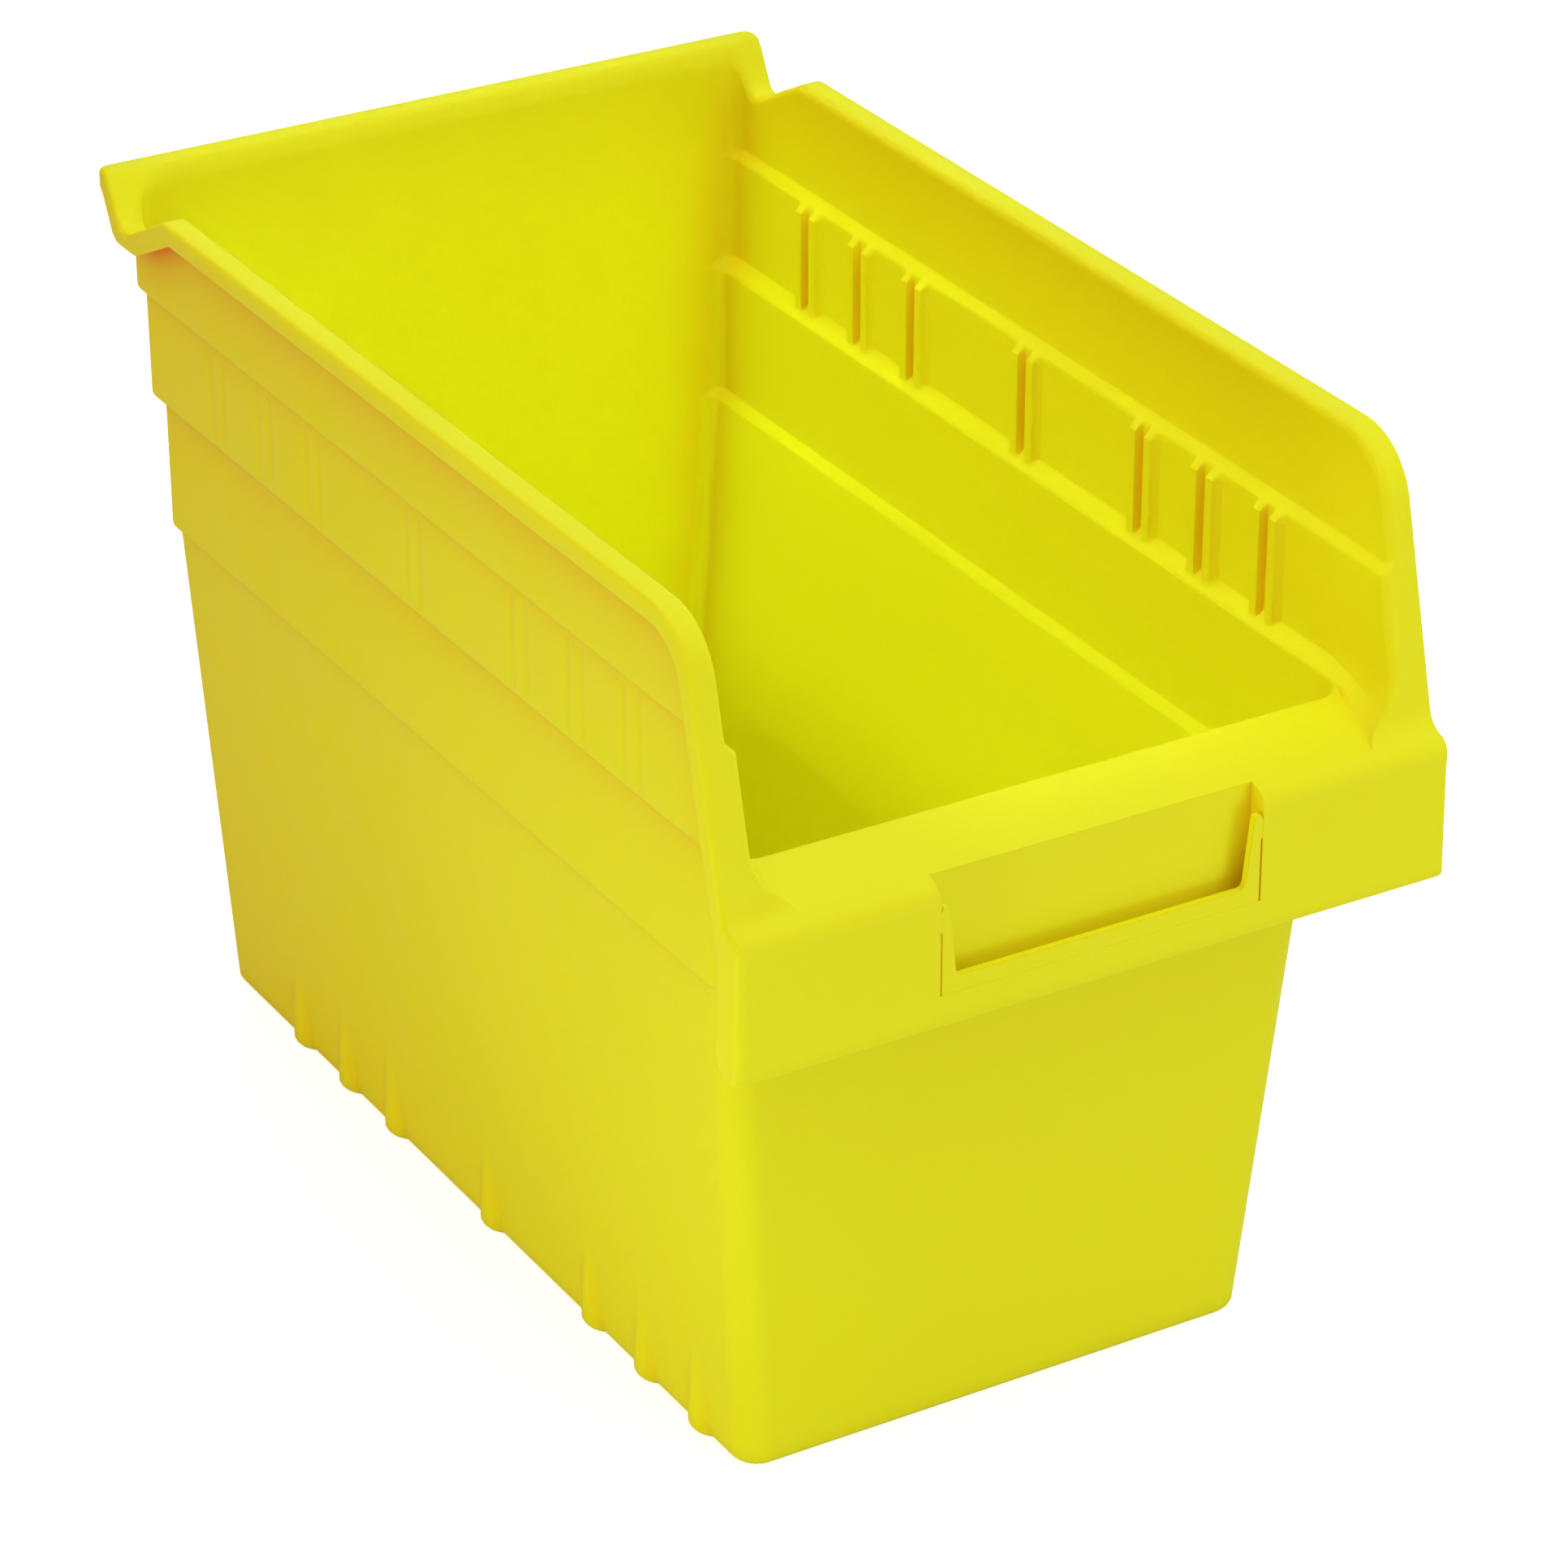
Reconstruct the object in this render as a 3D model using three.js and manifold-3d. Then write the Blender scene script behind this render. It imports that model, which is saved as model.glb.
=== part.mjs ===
// Hanging parts bin: a hopper-front shelf bin with a rear hang rail, moulded in yellow polypropylene.
// Millimetres. +X is the bin's right side, +Y its back, +Z up. The origin is at the centre of its base.
// The real bin is one moulding. Each named mesh is one section of it, with a fine gap at each joint.

import * as THREE from 'three';
import { mergeVertices } from 'three/addons/utils/BufferGeometryUtils.js';
import Module from 'manifold-3d';

const wasm = await Module();
wasm.setup();

// ---- Driving dimensions ----------------------------------------------------------------------

const LENGTH = 273;
const HEIGHT = 203;
const WALL = 2;
const GAP = 0.3;
const PAST = 1; // how far a cutting solid runs past the face that it cuts
const FRONT = -LENGTH / 2;
const BACK = LENGTH / 2;

// Side walls: half width of the outer face, which steps out three times on the way up.
const BASE_HALF = 60.4;
const STEPS = [
  { z: 117.2, from: 69.2, out: 2.0 },
  { z: 148.4, from: 71.3, out: 3.1 },
  { z: 175.2, from: 74.5, out: 2.0 },
];
const TOP_HALF = 76.6;
const STEP_MITRE = WALL * Math.tan(Math.PI / 8);

// Rim: a flange turned outward from the wall top, with a skirt turned down from its edge.
const RIM_TOP = 201.5;
const RIM_HALF = 81;
const SKIRT = 4.4;
const SKIRT_WALL = 1.8;
const RIM_START = { y: 128.9, z: 200.7 };
const NOTCH_VALLEY = { y: 124, z: 190.5, r: 4 };
const NOTCH_PEAK = { y: 103.8, z: RIM_TOP, r: 3 };
const RIM_FRONT_TOP = { y: -116.6, z: RIM_TOP, r: 16 };
const RIM_LEAN = 0.248;
const RIM_FOOT_Y = -130.4;

// Back wall and hang rail.
const BACK_OUTER = BACK - SKIRT;
const BACK_INNER = BACK_OUTER - WALL;
const RAIL_UNDER = HEIGHT - WALL;
const RAIL_RETURN = 3;

// Front wall, which leans out as it rises, and the throat above it.
const FRONT_FOOT = -103.5;
const FRONT_TOP = -111.5;
const THROAT_TOP = -118.2;
const FLOOR = 2.5;

// Hopper lip: a sloped top, a front skirt and two cheeks.
const LIP_INNER = { y: THROAT_TOP + WALL, z: 149.2 };
const LIP_OUTER = { y: FRONT, z: 143.4 };
const LIP_BOTTOM = 113.6;
const LIP_SLOPE = (LIP_INNER.z - LIP_OUTER.z) / (LIP_INNER.y - LIP_OUTER.y);
const CHEEK_HALF = 81.5;
const CHEEK_DEPTH = 8.5;
const CHEEK_RADIUS = 4;

// Label recess and the U-shaped frame that holds a card in it.
const LABEL_HALF = 36.4;
const LABEL_FLOOR = FRONT + 4.6;
const LABEL_BOTTOM = 120.5;
const FRAME_TOP = 139.5;
const FRAME_BAR = 3.5;
const FRAME_WALL = 1.6;

// Divider stations: pairs of ribs with a slot between them, and a half-round bulge near the floor.
const STATION_PITCH = 22.4;
const STATION_CENTRE = 4.6;
const STATION_STEPS = [-4, -3, -2, 0, 2, 3, 4];
const SLOT_WIDTH = 2.6;
const RIB_WIDTH = 3.4;
const RIB_DEPTH = 1.8;
const BULGE_RADIUS = 5;
const BULGE_OUT = 2.3;
const WALL_LEAN = (STEPS[0].from - BASE_HALF) / STEPS[0].z;
const BULGE_TOP = 19;
const BULGE_LEAN = BULGE_OUT / BULGE_TOP - WALL_LEAN;

const SHELL = { color: 0xdfe01b, roughness: 0.48, metalness: 0 };

// ---- Solids ----------------------------------------------------------------------------------

function toSolid(geometry) {
  const bare = geometry.clone();
  bare.deleteAttribute('normal');
  bare.deleteAttribute('uv');
  const merged = mergeVertices(bare, 1e-4);
  return new wasm.Manifold(new wasm.Mesh({
    numProp: 3,
    vertProperties: new Float32Array(merged.attributes.position.array),
    triVerts: new Uint32Array(merged.index.array),
  }));
}

function toGeometry(solid) {
  const mesh = solid.getMesh();
  const geometry = new THREE.BufferGeometry();
  geometry.setAttribute('position', new THREE.BufferAttribute(new Float32Array(mesh.vertProperties), 3));
  geometry.setIndex(new THREE.BufferAttribute(new Uint32Array(mesh.triVerts), 1));
  geometry.computeVertexNormals();
  return geometry;
}

function extrude(points, depth) {
  const shape = new THREE.Shape(points.map(([a, b]) => new THREE.Vector2(a, b)));
  return new THREE.ExtrudeGeometry(shape, { depth, bevelEnabled: false });
}

// A prism with its outline in (y, z), running along X from x0 to x1.
function alongX(points, x0, x1) {
  const turn = new THREE.Matrix4().makeBasis(
    new THREE.Vector3(0, 1, 0),
    new THREE.Vector3(0, 0, 1),
    new THREE.Vector3(1, 0, 0),
  );
  return toSolid(extrude(points, x1 - x0).applyMatrix4(turn).translate(x0, 0, 0));
}

// A prism with its outline in (x, z), running along Y from y0 to y1.
function alongY(points, y0, y1) {
  const turn = new THREE.Matrix4().makeBasis(
    new THREE.Vector3(1, 0, 0),
    new THREE.Vector3(0, 0, 1),
    new THREE.Vector3(0, -1, 0),
  );
  return toSolid(extrude(points, y1 - y0).applyMatrix4(turn).translate(0, y1, 0));
}

function box(low, high) {
  const size = high.map((value, i) => value - low[i]);
  const geometry = new THREE.BoxGeometry(...size);
  geometry.translate(...low.map((value, i) => value + size[i] / 2));
  return toSolid(geometry);
}

const union = (...solids) => solids.reduce((a, b) => wasm.Manifold.union(a, b));
const cut = (a, ...others) => others.reduce((left, b) => wasm.Manifold.difference(left, b), a);
const common = (a, b) => wasm.Manifold.intersection(a, b);

// Moves each straight run of an open outline sideways by d (to its left) and rejoins the runs.
function offsetCorners(corners, d) {
  const runs = corners.slice(1).map((end, i) => {
    const start = corners[i];
    const long = Math.hypot(end.y - start.y, end.z - start.z);
    const along = { y: (end.y - start.y) / long, z: (end.z - start.z) / long };
    return { y: start.y - along.z * d, z: start.z + along.y * d, along, long };
  });
  return corners.map((corner, i) => {
    if (i === 0) return { y: runs[0].y, z: runs[0].z };
    const a = runs[i - 1];
    if (i === runs.length) return { y: a.y + a.along.y * a.long, z: a.z + a.along.z * a.long };
    const b = runs[i];
    const turn = a.along.y * b.along.z - a.along.z * b.along.y;
    const t = ((b.y - a.y) * b.along.z - (b.z - a.z) * b.along.y) / turn;
    const r = Math.max((corner.r ?? 0) - Math.sign(turn) * d, 0.2);
    return { y: a.y + a.along.y * t, z: a.z + a.along.z * t, r: corner.r ? r : 0 };
  });
}

// The points of an open outline with its corners rounded by their radii.
function roundedPoints(corners, segments = 6) {
  return corners.flatMap((corner, i) => {
    if (!corner.r || i === 0 || i === corners.length - 1) return [[corner.y, corner.z]];
    const here = new THREE.Vector2(corner.y, corner.z);
    const before = new THREE.Vector2(corners[i - 1].y, corners[i - 1].z).sub(here).normalize();
    const after = new THREE.Vector2(corners[i + 1].y, corners[i + 1].z).sub(here).normalize();
    const half = Math.acos(before.dot(after)) / 2;
    const reach = corner.r / Math.tan(half);
    const start = here.clone().addScaledVector(before, reach);
    const end = here.clone().addScaledVector(after, reach);
    const centre = here.clone().addScaledVector(before.add(after).normalize(), corner.r / Math.sin(half));
    const from = Math.atan2(start.y - centre.y, start.x - centre.x);
    let sweep = Math.atan2(end.y - centre.y, end.x - centre.x) - from;
    sweep -= Math.round(sweep / (2 * Math.PI)) * 2 * Math.PI;
    return Array.from({ length: segments + 1 }, (_, k) => {
      const angle = from + (sweep * k) / segments;
      return [centre.x + corner.r * Math.cos(angle), centre.y + corner.r * Math.sin(angle)];
    });
  });
}

// A closed strip between two offsets of an open outline.
function strip(corners, near, far) {
  const first = roundedPoints(offsetCorners(corners, near));
  const second = roundedPoints(offsetCorners(corners, far));
  return [...first, ...second.reverse()];
}

// ---- Profiles --------------------------------------------------------------------------------

const lipTop = (y) => LIP_INNER.z + (y - LIP_INNER.y) * LIP_SLOPE;

// The side wall's outer face from the floor up, as (half width, height).
const outerFace = [
  [BASE_HALF, 0],
  ...STEPS.flatMap(({ z, from, out }) => [[from, z], [from + out, z + out]]),
  [TOP_HALF, HEIGHT],
];

// The same face moved inward by the wall and an extra clearance.
function innerFace(clearance) {
  return outerFace.map(([x, z], i) => {
    const onStep = i > 0 && i < outerFace.length - 1;
    return [x - WALL - clearance, onStep ? z + STEP_MITRE : z];
  });
}

// The space between the side walls, less a clearance, as a prism from front to back.
function insideWalls(clearance) {
  const right = innerFace(clearance);
  const left = right.map(([x, z]) => [-x, z]).reverse();
  return alongY([...right, ...left], FRONT - PAST, BACK + PAST);
}

const RIM_FOOT_Z = lipTop(RIM_FOOT_Y) + GAP;
const rimCorners = [
  RIM_START,
  NOTCH_VALLEY,
  NOTCH_PEAK,
  RIM_FRONT_TOP,
  { y: RIM_FRONT_TOP.y - (RIM_TOP - RIM_FOOT_Z) * RIM_LEAN, z: RIM_FOOT_Z },
];

// ---- Sections of the moulding ------------------------------------------------------------------

function stations() {
  return STATION_STEPS.map((step) => STATION_CENTRE + step * STATION_PITCH);
}

// Two ribs either side of a slot, on the inner face of the right wall's third band.
function dividerRibs(y) {
  const low = STEPS[1].z + STEPS[1].out + STEP_MITRE - WALL / 2;
  const high = STEPS[2].z + STEP_MITRE;
  const face = STEPS[2].from - WALL;
  return [-1, 1].map((side) => {
    const near = y + side * (SLOT_WIDTH / 2);
    const far = y + side * (SLOT_WIDTH / 2 + RIB_WIDTH);
    return box(
      [face - RIB_DEPTH, Math.min(near, far), low],
      [face + WALL / 2, Math.max(near, far), high],
    );
  });
}

// A round bar at a station. It pokes out of the right wall's foot by BULGE_OUT and leans inward, so
// that it has run into the wall at BULGE_TOP.
// The wall leans out past it as it rises, so what shows of the bar fades away.
function stationBar(y, radius, z0) {
  const height = BULGE_TOP + WALL - z0;
  const geometry = new THREE.CylinderGeometry(radius, radius, height, 24);
  geometry.rotateX(Math.PI / 2);
  geometry.translate(BASE_HALF - BULGE_RADIUS + BULGE_OUT, y, z0 + height / 2);
  geometry.applyMatrix4(new THREE.Matrix4().makeShear(0, 0, 0, 0, -BULGE_LEAN, 0));
  return toSolid(geometry);
}

// Outline of the side wall seen from the side, with the rim's flange left out.
function sideOutline() {
  const underRim = roundedPoints(offsetCorners(rimCorners, WALL + GAP));
  const foot = underRim[underRim.length - 1];
  const footZ = lipTop(foot[0]) + GAP;
  return [
    [BACK_OUTER, 0],
    [BACK_OUTER, underRim[0][1]],
    ...underRim.slice(0, -1),
    [foot[0], footZ],
    [LIP_INNER.y + GAP, lipTop(LIP_INNER.y + GAP) + GAP],
    [LIP_INNER.y + GAP, lipTop(LIP_INNER.y) - WALL - 2 * GAP],
    [THROAT_TOP, lipTop(THROAT_TOP) - WALL - 2 * GAP],
    [FRONT_TOP - STEPS[0].out, STEPS[0].z + STEPS[0].out],
    [FRONT_TOP, STEPS[0].z],
    [FRONT_FOOT, 0],
  ];
}

function rightSideWall() {
  const inner = innerFace(0);
  const profile = [...outerFace, ...inner.reverse()];
  const panel = alongY(profile, FRONT, BACK);
  const bulges = stations().map((y) => cut(stationBar(y, BULGE_RADIUS, 0), insideWalls(0)));
  const grooves = stations().map((y) => stationBar(y, BULGE_RADIUS - WALL, FLOOR));
  const ribs = stations().flatMap(dividerRibs);
  const wall = cut(union(panel, ...bulges, ...ribs), ...grooves);
  return common(wall, alongX(sideOutline(), 0, RIM_HALF));
}

function rightRim() {
  const flange = alongX(strip(rimCorners, 0, WALL), TOP_HALF - WALL, RIM_HALF);
  const skirt = alongX(strip(rimCorners, 0, SKIRT), RIM_HALF - SKIRT_WALL, RIM_HALF);
  const above = alongX(
    [
      [FRONT, lipTop(FRONT) + GAP],
      [LIP_INNER.y, lipTop(LIP_INNER.y) + GAP],
      [BACK, lipTop(LIP_INNER.y) + GAP],
      [BACK, HEIGHT],
      [FRONT, HEIGHT],
    ],
    0,
    RIM_HALF + PAST,
  );
  return common(union(flange, skirt), above);
}

// The back wall reaches the rail's top. Above the side walls it widens to close both corners.
function backWall() {
  const plate = box([-TOP_HALF, BACK_INNER, 0], [TOP_HALF, BACK_OUTER, HEIGHT]);
  const head = box([-TOP_HALF, BACK_INNER, RAIL_UNDER], [TOP_HALF, BACK_OUTER, HEIGHT]);
  return union(common(plate, insideWalls(GAP)), head);
}

function hangRail() {
  const top = box([-RIM_HALF, BACK_OUTER + GAP, RAIL_UNDER], [RIM_HALF, BACK, HEIGHT]);
  const corners = [-RIM_HALF, TOP_HALF + GAP].map((x) => box(
    [x, BACK_INNER, RAIL_UNDER],
    [x + RIM_HALF - TOP_HALF - GAP, BACK - SKIRT_WALL, HEIGHT],
  ));
  const skirt = box([-RIM_HALF, BACK - SKIRT_WALL, HEIGHT - SKIRT], [RIM_HALF, BACK, HEIGHT]);
  const ends = [-RIM_HALF, RIM_HALF - SKIRT_WALL].map((x) => box(
    [x, BACK - RAIL_RETURN, HEIGHT - SKIRT],
    [x + SKIRT_WALL, BACK, HEIGHT],
  ));
  return union(top, skirt, ...corners, ...ends);
}

function floorPanel() {
  const slab = alongX(
    [
      [FRONT_FOOT + WALL + GAP, 0],
      [BACK_INNER - GAP, 0],
      [BACK_INNER - GAP, FLOOR],
      [FRONT_FOOT + WALL + GAP, FLOOR],
    ],
    -BASE_HALF,
    BASE_HALF,
  );
  return common(slab, insideWalls(GAP));
}

function frontWall() {
  const top = STEPS[0].z - GAP;
  const plate = alongX(
    [[FRONT_FOOT, 0], [FRONT_FOOT + WALL, 0], [FRONT_TOP + WALL, top], [FRONT_TOP, top]],
    -TOP_HALF,
    TOP_HALF,
  );
  return common(plate, insideWalls(GAP));
}

function hopperThroat() {
  const ledge = STEPS[0].z + STEPS[0].out;
  const top = lipTop(THROAT_TOP) - WALL - GAP;
  const plate = alongX(
    [
      [FRONT_TOP, STEPS[0].z],
      [FRONT_TOP + WALL, STEPS[0].z],
      [FRONT_TOP + WALL, STEPS[0].z + STEP_MITRE],
      [FRONT_TOP - STEPS[0].out + WALL, ledge + STEP_MITRE],
      [THROAT_TOP + WALL, top],
      [THROAT_TOP, top],
      [FRONT_TOP - STEPS[0].out, ledge],
    ],
    -TOP_HALF,
    TOP_HALF,
  );
  return common(plate, insideWalls(GAP));
}

function hopperTop() {
  const plate = alongX(
    [
      [LIP_INNER.y, LIP_INNER.z],
      [LIP_INNER.y, LIP_INNER.z - WALL],
      [LIP_OUTER.y, LIP_OUTER.z - WALL],
      [LIP_OUTER.y, LIP_OUTER.z],
    ],
    -RIM_HALF,
    RIM_HALF,
  );
  const recess = box(
    [-LABEL_HALF - GAP, FRONT - PAST, LIP_BOTTOM],
    [LABEL_HALF + GAP, LABEL_FLOOR + WALL + GAP, HEIGHT],
  );
  return cut(plate, recess);
}

function hopperSkirt() {
  const top = LIP_OUTER.z - WALL - GAP;
  const plate = box(
    [-CHEEK_HALF + WALL + GAP, FRONT, LIP_BOTTOM],
    [CHEEK_HALF - WALL - GAP, FRONT + WALL, top],
  );
  const window = box(
    [-LABEL_HALF - GAP, FRONT - PAST, LABEL_BOTTOM - GAP],
    [LABEL_HALF + GAP, FRONT + WALL + PAST, top + PAST],
  );
  return cut(plate, window);
}

function rightCheek() {
  const outline = roundedPoints([
    { y: FRONT, z: LIP_OUTER.z - WALL - GAP },
    { y: FRONT, z: LIP_BOTTOM },
    { y: FRONT + CHEEK_DEPTH, z: LIP_BOTTOM, r: CHEEK_RADIUS },
    { y: FRONT + CHEEK_DEPTH, z: lipTop(FRONT + CHEEK_DEPTH) - WALL - GAP },
  ]);
  return alongX(outline, CHEEK_HALF - WALL, CHEEK_HALF);
}

// The recess floor, with the shelf and side webs that join it to the skirt.
function labelPocket() {
  const front = FRONT + FRAME_WALL + GAP;
  const back = LABEL_FLOOR + WALL;
  const plate = box([-LABEL_HALF, LABEL_FLOOR, LABEL_BOTTOM], [LABEL_HALF, back, lipTop(LABEL_FLOOR)]);
  const shelf = box([-LABEL_HALF, front, LABEL_BOTTOM], [LABEL_HALF, back, LABEL_BOTTOM + WALL]);
  const webs = [-LABEL_HALF, LABEL_HALF - SKIRT_WALL].map((x) => box(
    [x, front, LABEL_BOTTOM],
    [x + SKIRT_WALL, back, FRAME_TOP],
  ));
  return union(plate, shelf, ...webs);
}

function labelFrame() {
  const outer = box([-LABEL_HALF, FRONT, LABEL_BOTTOM], [LABEL_HALF, FRONT + FRAME_WALL, FRAME_TOP]);
  const low = LABEL_HALF - FRAME_BAR;
  const high = LABEL_HALF - FRAME_BAR / 2;
  const opening = alongY(
    [
      [-low, LABEL_BOTTOM + FRAME_BAR],
      [low, LABEL_BOTTOM + FRAME_BAR],
      [high, FRAME_TOP + PAST],
      [-high, FRAME_TOP + PAST],
    ],
    FRONT - PAST,
    FRONT + FRAME_WALL + PAST,
  );
  return cut(outer, opening);
}

// ---- Assembly ----------------------------------------------------------------------------------

const group = new THREE.Group();
group.name = 'hanging_parts_bin';

function add(name, solid, look) {
  const material = new THREE.MeshStandardMaterial(look);
  material.name = name;
  const mesh = new THREE.Mesh(toGeometry(solid), material);
  mesh.name = name;
  group.add(mesh);
}

function addPair(name, rightSolid, look) {
  add(`right_${name}`, rightSolid, look);
  add(`left_${name}`, rightSolid.mirror([1, 0, 0]), look);
}

add('floor_panel', floorPanel(), SHELL);
add('back_wall', backWall(), SHELL);
add('front_wall', frontWall(), SHELL);
add('hopper_throat', hopperThroat(), SHELL);
add('hopper_top', hopperTop(), SHELL);
add('hopper_skirt', hopperSkirt(), SHELL);
add('label_pocket', labelPocket(), SHELL);
add('label_frame', labelFrame(), SHELL);
add('hang_rail', hangRail(), SHELL);
addPair('side_wall', rightSideWall(), SHELL);
addPair('rim', rightRim(), SHELL);
addPair('hopper_cheek', rightCheek(), SHELL);

export default group;
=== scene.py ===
"""Looks of the hanging parts bin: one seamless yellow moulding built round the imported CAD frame."""

import math

import bmesh
import bpy
import numpy as np
from mathutils import Euler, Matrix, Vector


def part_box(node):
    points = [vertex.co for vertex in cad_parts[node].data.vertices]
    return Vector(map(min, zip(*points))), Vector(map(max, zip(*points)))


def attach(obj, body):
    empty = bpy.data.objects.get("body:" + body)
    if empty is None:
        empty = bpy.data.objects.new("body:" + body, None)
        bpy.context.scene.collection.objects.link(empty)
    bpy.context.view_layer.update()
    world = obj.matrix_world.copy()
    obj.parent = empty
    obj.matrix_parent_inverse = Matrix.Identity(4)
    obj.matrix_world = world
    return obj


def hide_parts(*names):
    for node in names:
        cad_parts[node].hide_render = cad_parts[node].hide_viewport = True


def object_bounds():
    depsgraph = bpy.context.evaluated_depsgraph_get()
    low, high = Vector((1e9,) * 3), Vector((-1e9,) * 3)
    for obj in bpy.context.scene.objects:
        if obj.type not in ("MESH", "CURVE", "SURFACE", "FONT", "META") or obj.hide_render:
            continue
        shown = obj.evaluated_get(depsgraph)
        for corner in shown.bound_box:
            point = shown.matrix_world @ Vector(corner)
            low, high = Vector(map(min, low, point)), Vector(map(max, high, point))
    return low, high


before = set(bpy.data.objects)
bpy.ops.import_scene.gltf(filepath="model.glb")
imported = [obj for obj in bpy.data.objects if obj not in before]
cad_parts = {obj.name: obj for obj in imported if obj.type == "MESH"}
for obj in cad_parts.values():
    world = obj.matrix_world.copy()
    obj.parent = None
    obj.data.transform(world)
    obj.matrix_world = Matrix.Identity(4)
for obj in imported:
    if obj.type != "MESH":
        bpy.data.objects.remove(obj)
CAD_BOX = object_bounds()
TO_MM = 1000.0


def box_mm(node):
    """A CAD node's lowest and highest corner, in millimetres."""
    low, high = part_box(node)
    return np.array(low) * TO_MM, np.array(high) * TO_MM


# ---- Dimensions, in millimetres ----

rail_low, rail_high = box_mm("hang_rail")
back_low, back_high = box_mm("back_wall")
side_low, side_high = box_mm("right_side_wall")
front_low, front_high = box_mm("front_wall")
top_low, top_high = box_mm("hopper_top")
pocket_low, pocket_high = box_mm("label_pocket")
rim_high = box_mm("right_rim")[1]
skirt_low = box_mm("hopper_skirt")[0]
cheek_high = box_mm("right_hopper_cheek")[1]
card_high = box_mm("label_frame")[1]
throat_low = box_mm("hopper_throat")[0]

# Main sizes, from the frame. "Half" is a distance from the middle plane, x = 0.
CAD_GAP = 0.3
WALL = back_high[1] - back_low[1]
FLOOR = box_mm("floor_panel")[1][2]
FRONT = top_low[1]
BACK = rail_high[1]
RAIL_TOP = rail_high[2]
RAIL_SKIRT_Z = rail_low[2]
RIM_TOP = rim_high[2]
RIM_HALF = rim_high[0]
SKIRT = RAIL_TOP - RAIL_SKIRT_Z
SKIRT_WALL = 1.8
BACK_OUTER = back_high[1]
BACK_DRAFT = 0.5
BASE_HALF = side_low[0] + WALL
TOP_HALF = side_high[0]
FRONT_FOOT = front_high[1] - WALL
FRONT_TOP = front_low[1]
LIP_BOTTOM = skirt_low[2]
CHEEK_HALF = cheek_high[0]
CHEEK_BACK = cheek_high[1]

# The hopper's sloping top, from its inner to its outer end, as (y, z).
LIP_INNER = np.array([top_high[1], top_high[2]])
LIP_OUTER = np.array([FRONT, top_low[2] + WALL])
LIP_SLOPE = (LIP_INNER[1] - LIP_OUTER[1]) / (LIP_INNER[0] - LIP_OUTER[0])
LIP_ANGLE = math.atan2(LIP_INNER[1] - LIP_OUTER[1], LIP_INNER[0] - LIP_OUTER[0])
LIP_DROP = WALL / math.cos(LIP_ANGLE)
THROAT_TOP = LIP_INNER[0] - WALL

# Each ledge of the side walls: height, half width below it, and how far it steps out.
LEDGE_1 = (throat_low[2], 69.2, 2.0)
LEDGE_2 = (148.4, 71.3, 3.1)
LEDGE_3 = (175.2, 74.5, 2.0)
STEP_MITRE = WALL * math.tan(math.pi / 8)

# Radii inside (first) and outside: a ledge's convex and concave bends, and the floor's edge.
BENDS = ((1.0, 0.8), (0.35, 1.2))
BASE_ROUNDS = (2.2, 3.0)

# Plan radii of the vertical corners, on the outer skin, and of the rail's ends.
BACK_CORNER = 5.5
FRONT_CORNER = 6.5
THROAT_CORNER = 7.0
RAIL_CORNER = 2.5

# Rim path seen from the side, as (y, z), with the rounding of each corner.
RIM_LEAN = 0.248
VALLEY = (np.array([125.2, 190.5]), 4.0)
PEAK = (np.array([103.8, RIM_TOP]), 3.0)
RAIL_FRONT = (np.array([131.6, RAIL_TOP]), 2.0)
RIM_CORNER = (np.array([-116.6, RIM_TOP]), 16.0)
CORNER_START = -99.5
FOOT_ROUND = 5.0
LIP_ROUND = 4.0

# Lower edge of the rim's skirt through the notch: y, height and rounding of each corner.
RIM_SKIRT_Z = RIM_TOP - SKIRT
NOTCH_SKIRT_Z = 188.4
NOTCH_SKIRT = (
    (133.9, RAIL_SKIRT_Z, 0.8),
    (128.6, NOTCH_SKIRT_Z, 3.2),
    (118.6, NOTCH_SKIRT_Z, 5.0),
    (100.9, RIM_SKIRT_Z, 4.0),
)

# The rim's section: bends at its inner edge, outer edge and underside, and its skirt's lower edge.
EDGE_ROUND = 1.9
EDGE_ROUND_GROWTH = 7.0
OUTER_EDGE_ROUND = 1.1
UNDER_BEND = 0.4
TIP_RISE = 0.45
TIP_FLAT = 0.5
TIP_CHAMFER = (0.12, 0.13)
FRONT_CHEEK_ROUND = 1.8
CHEEK_ROUND_GROWTH = 5.0

# Rear edge of the cheeks: the elbow's depth under the lip, its rounding and the lower corner's.
ELBOW_DEPTH = 5.0
ELBOW_ROUND = 12.0
CHEEK_CORNER = 3.2

# Divider stations: a slot between two ribs inside, sink marks outside, and a bar at the foot.
STATION_CENTRE = 4.6
STATION_PITCH = 22.4
STATION_YS = [STATION_CENTRE + STATION_PITCH * k for k in (-4, -3, -2, 0, 2, 3, 4)]
SLOT_HALF = 1.15
RIB_WIDTH = 3.4
RIB_DEPTH = 1.8
RAMP = 0.5
RIB_FADE = 0.3
SINK_DEPTH = 0.3
SINK_WIDTH = 0.9
SINK_MARGIN = 1.0
BAR_RADIUS = 5.0
BAR_OUT = 2.3
BAR_TOP = 19.0
WALL_LEAN = (LEDGE_1[1] - BASE_HALF) / LEDGE_1[0]
BAR_TILT = BAR_OUT / BAR_TOP - WALL_LEAN

# Label recess.
LABEL_HALF = pocket_high[0] + CAD_GAP
LABEL_FLOOR = pocket_high[1] - WALL
LABEL_BOTTOM = pocket_low[2]

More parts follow.
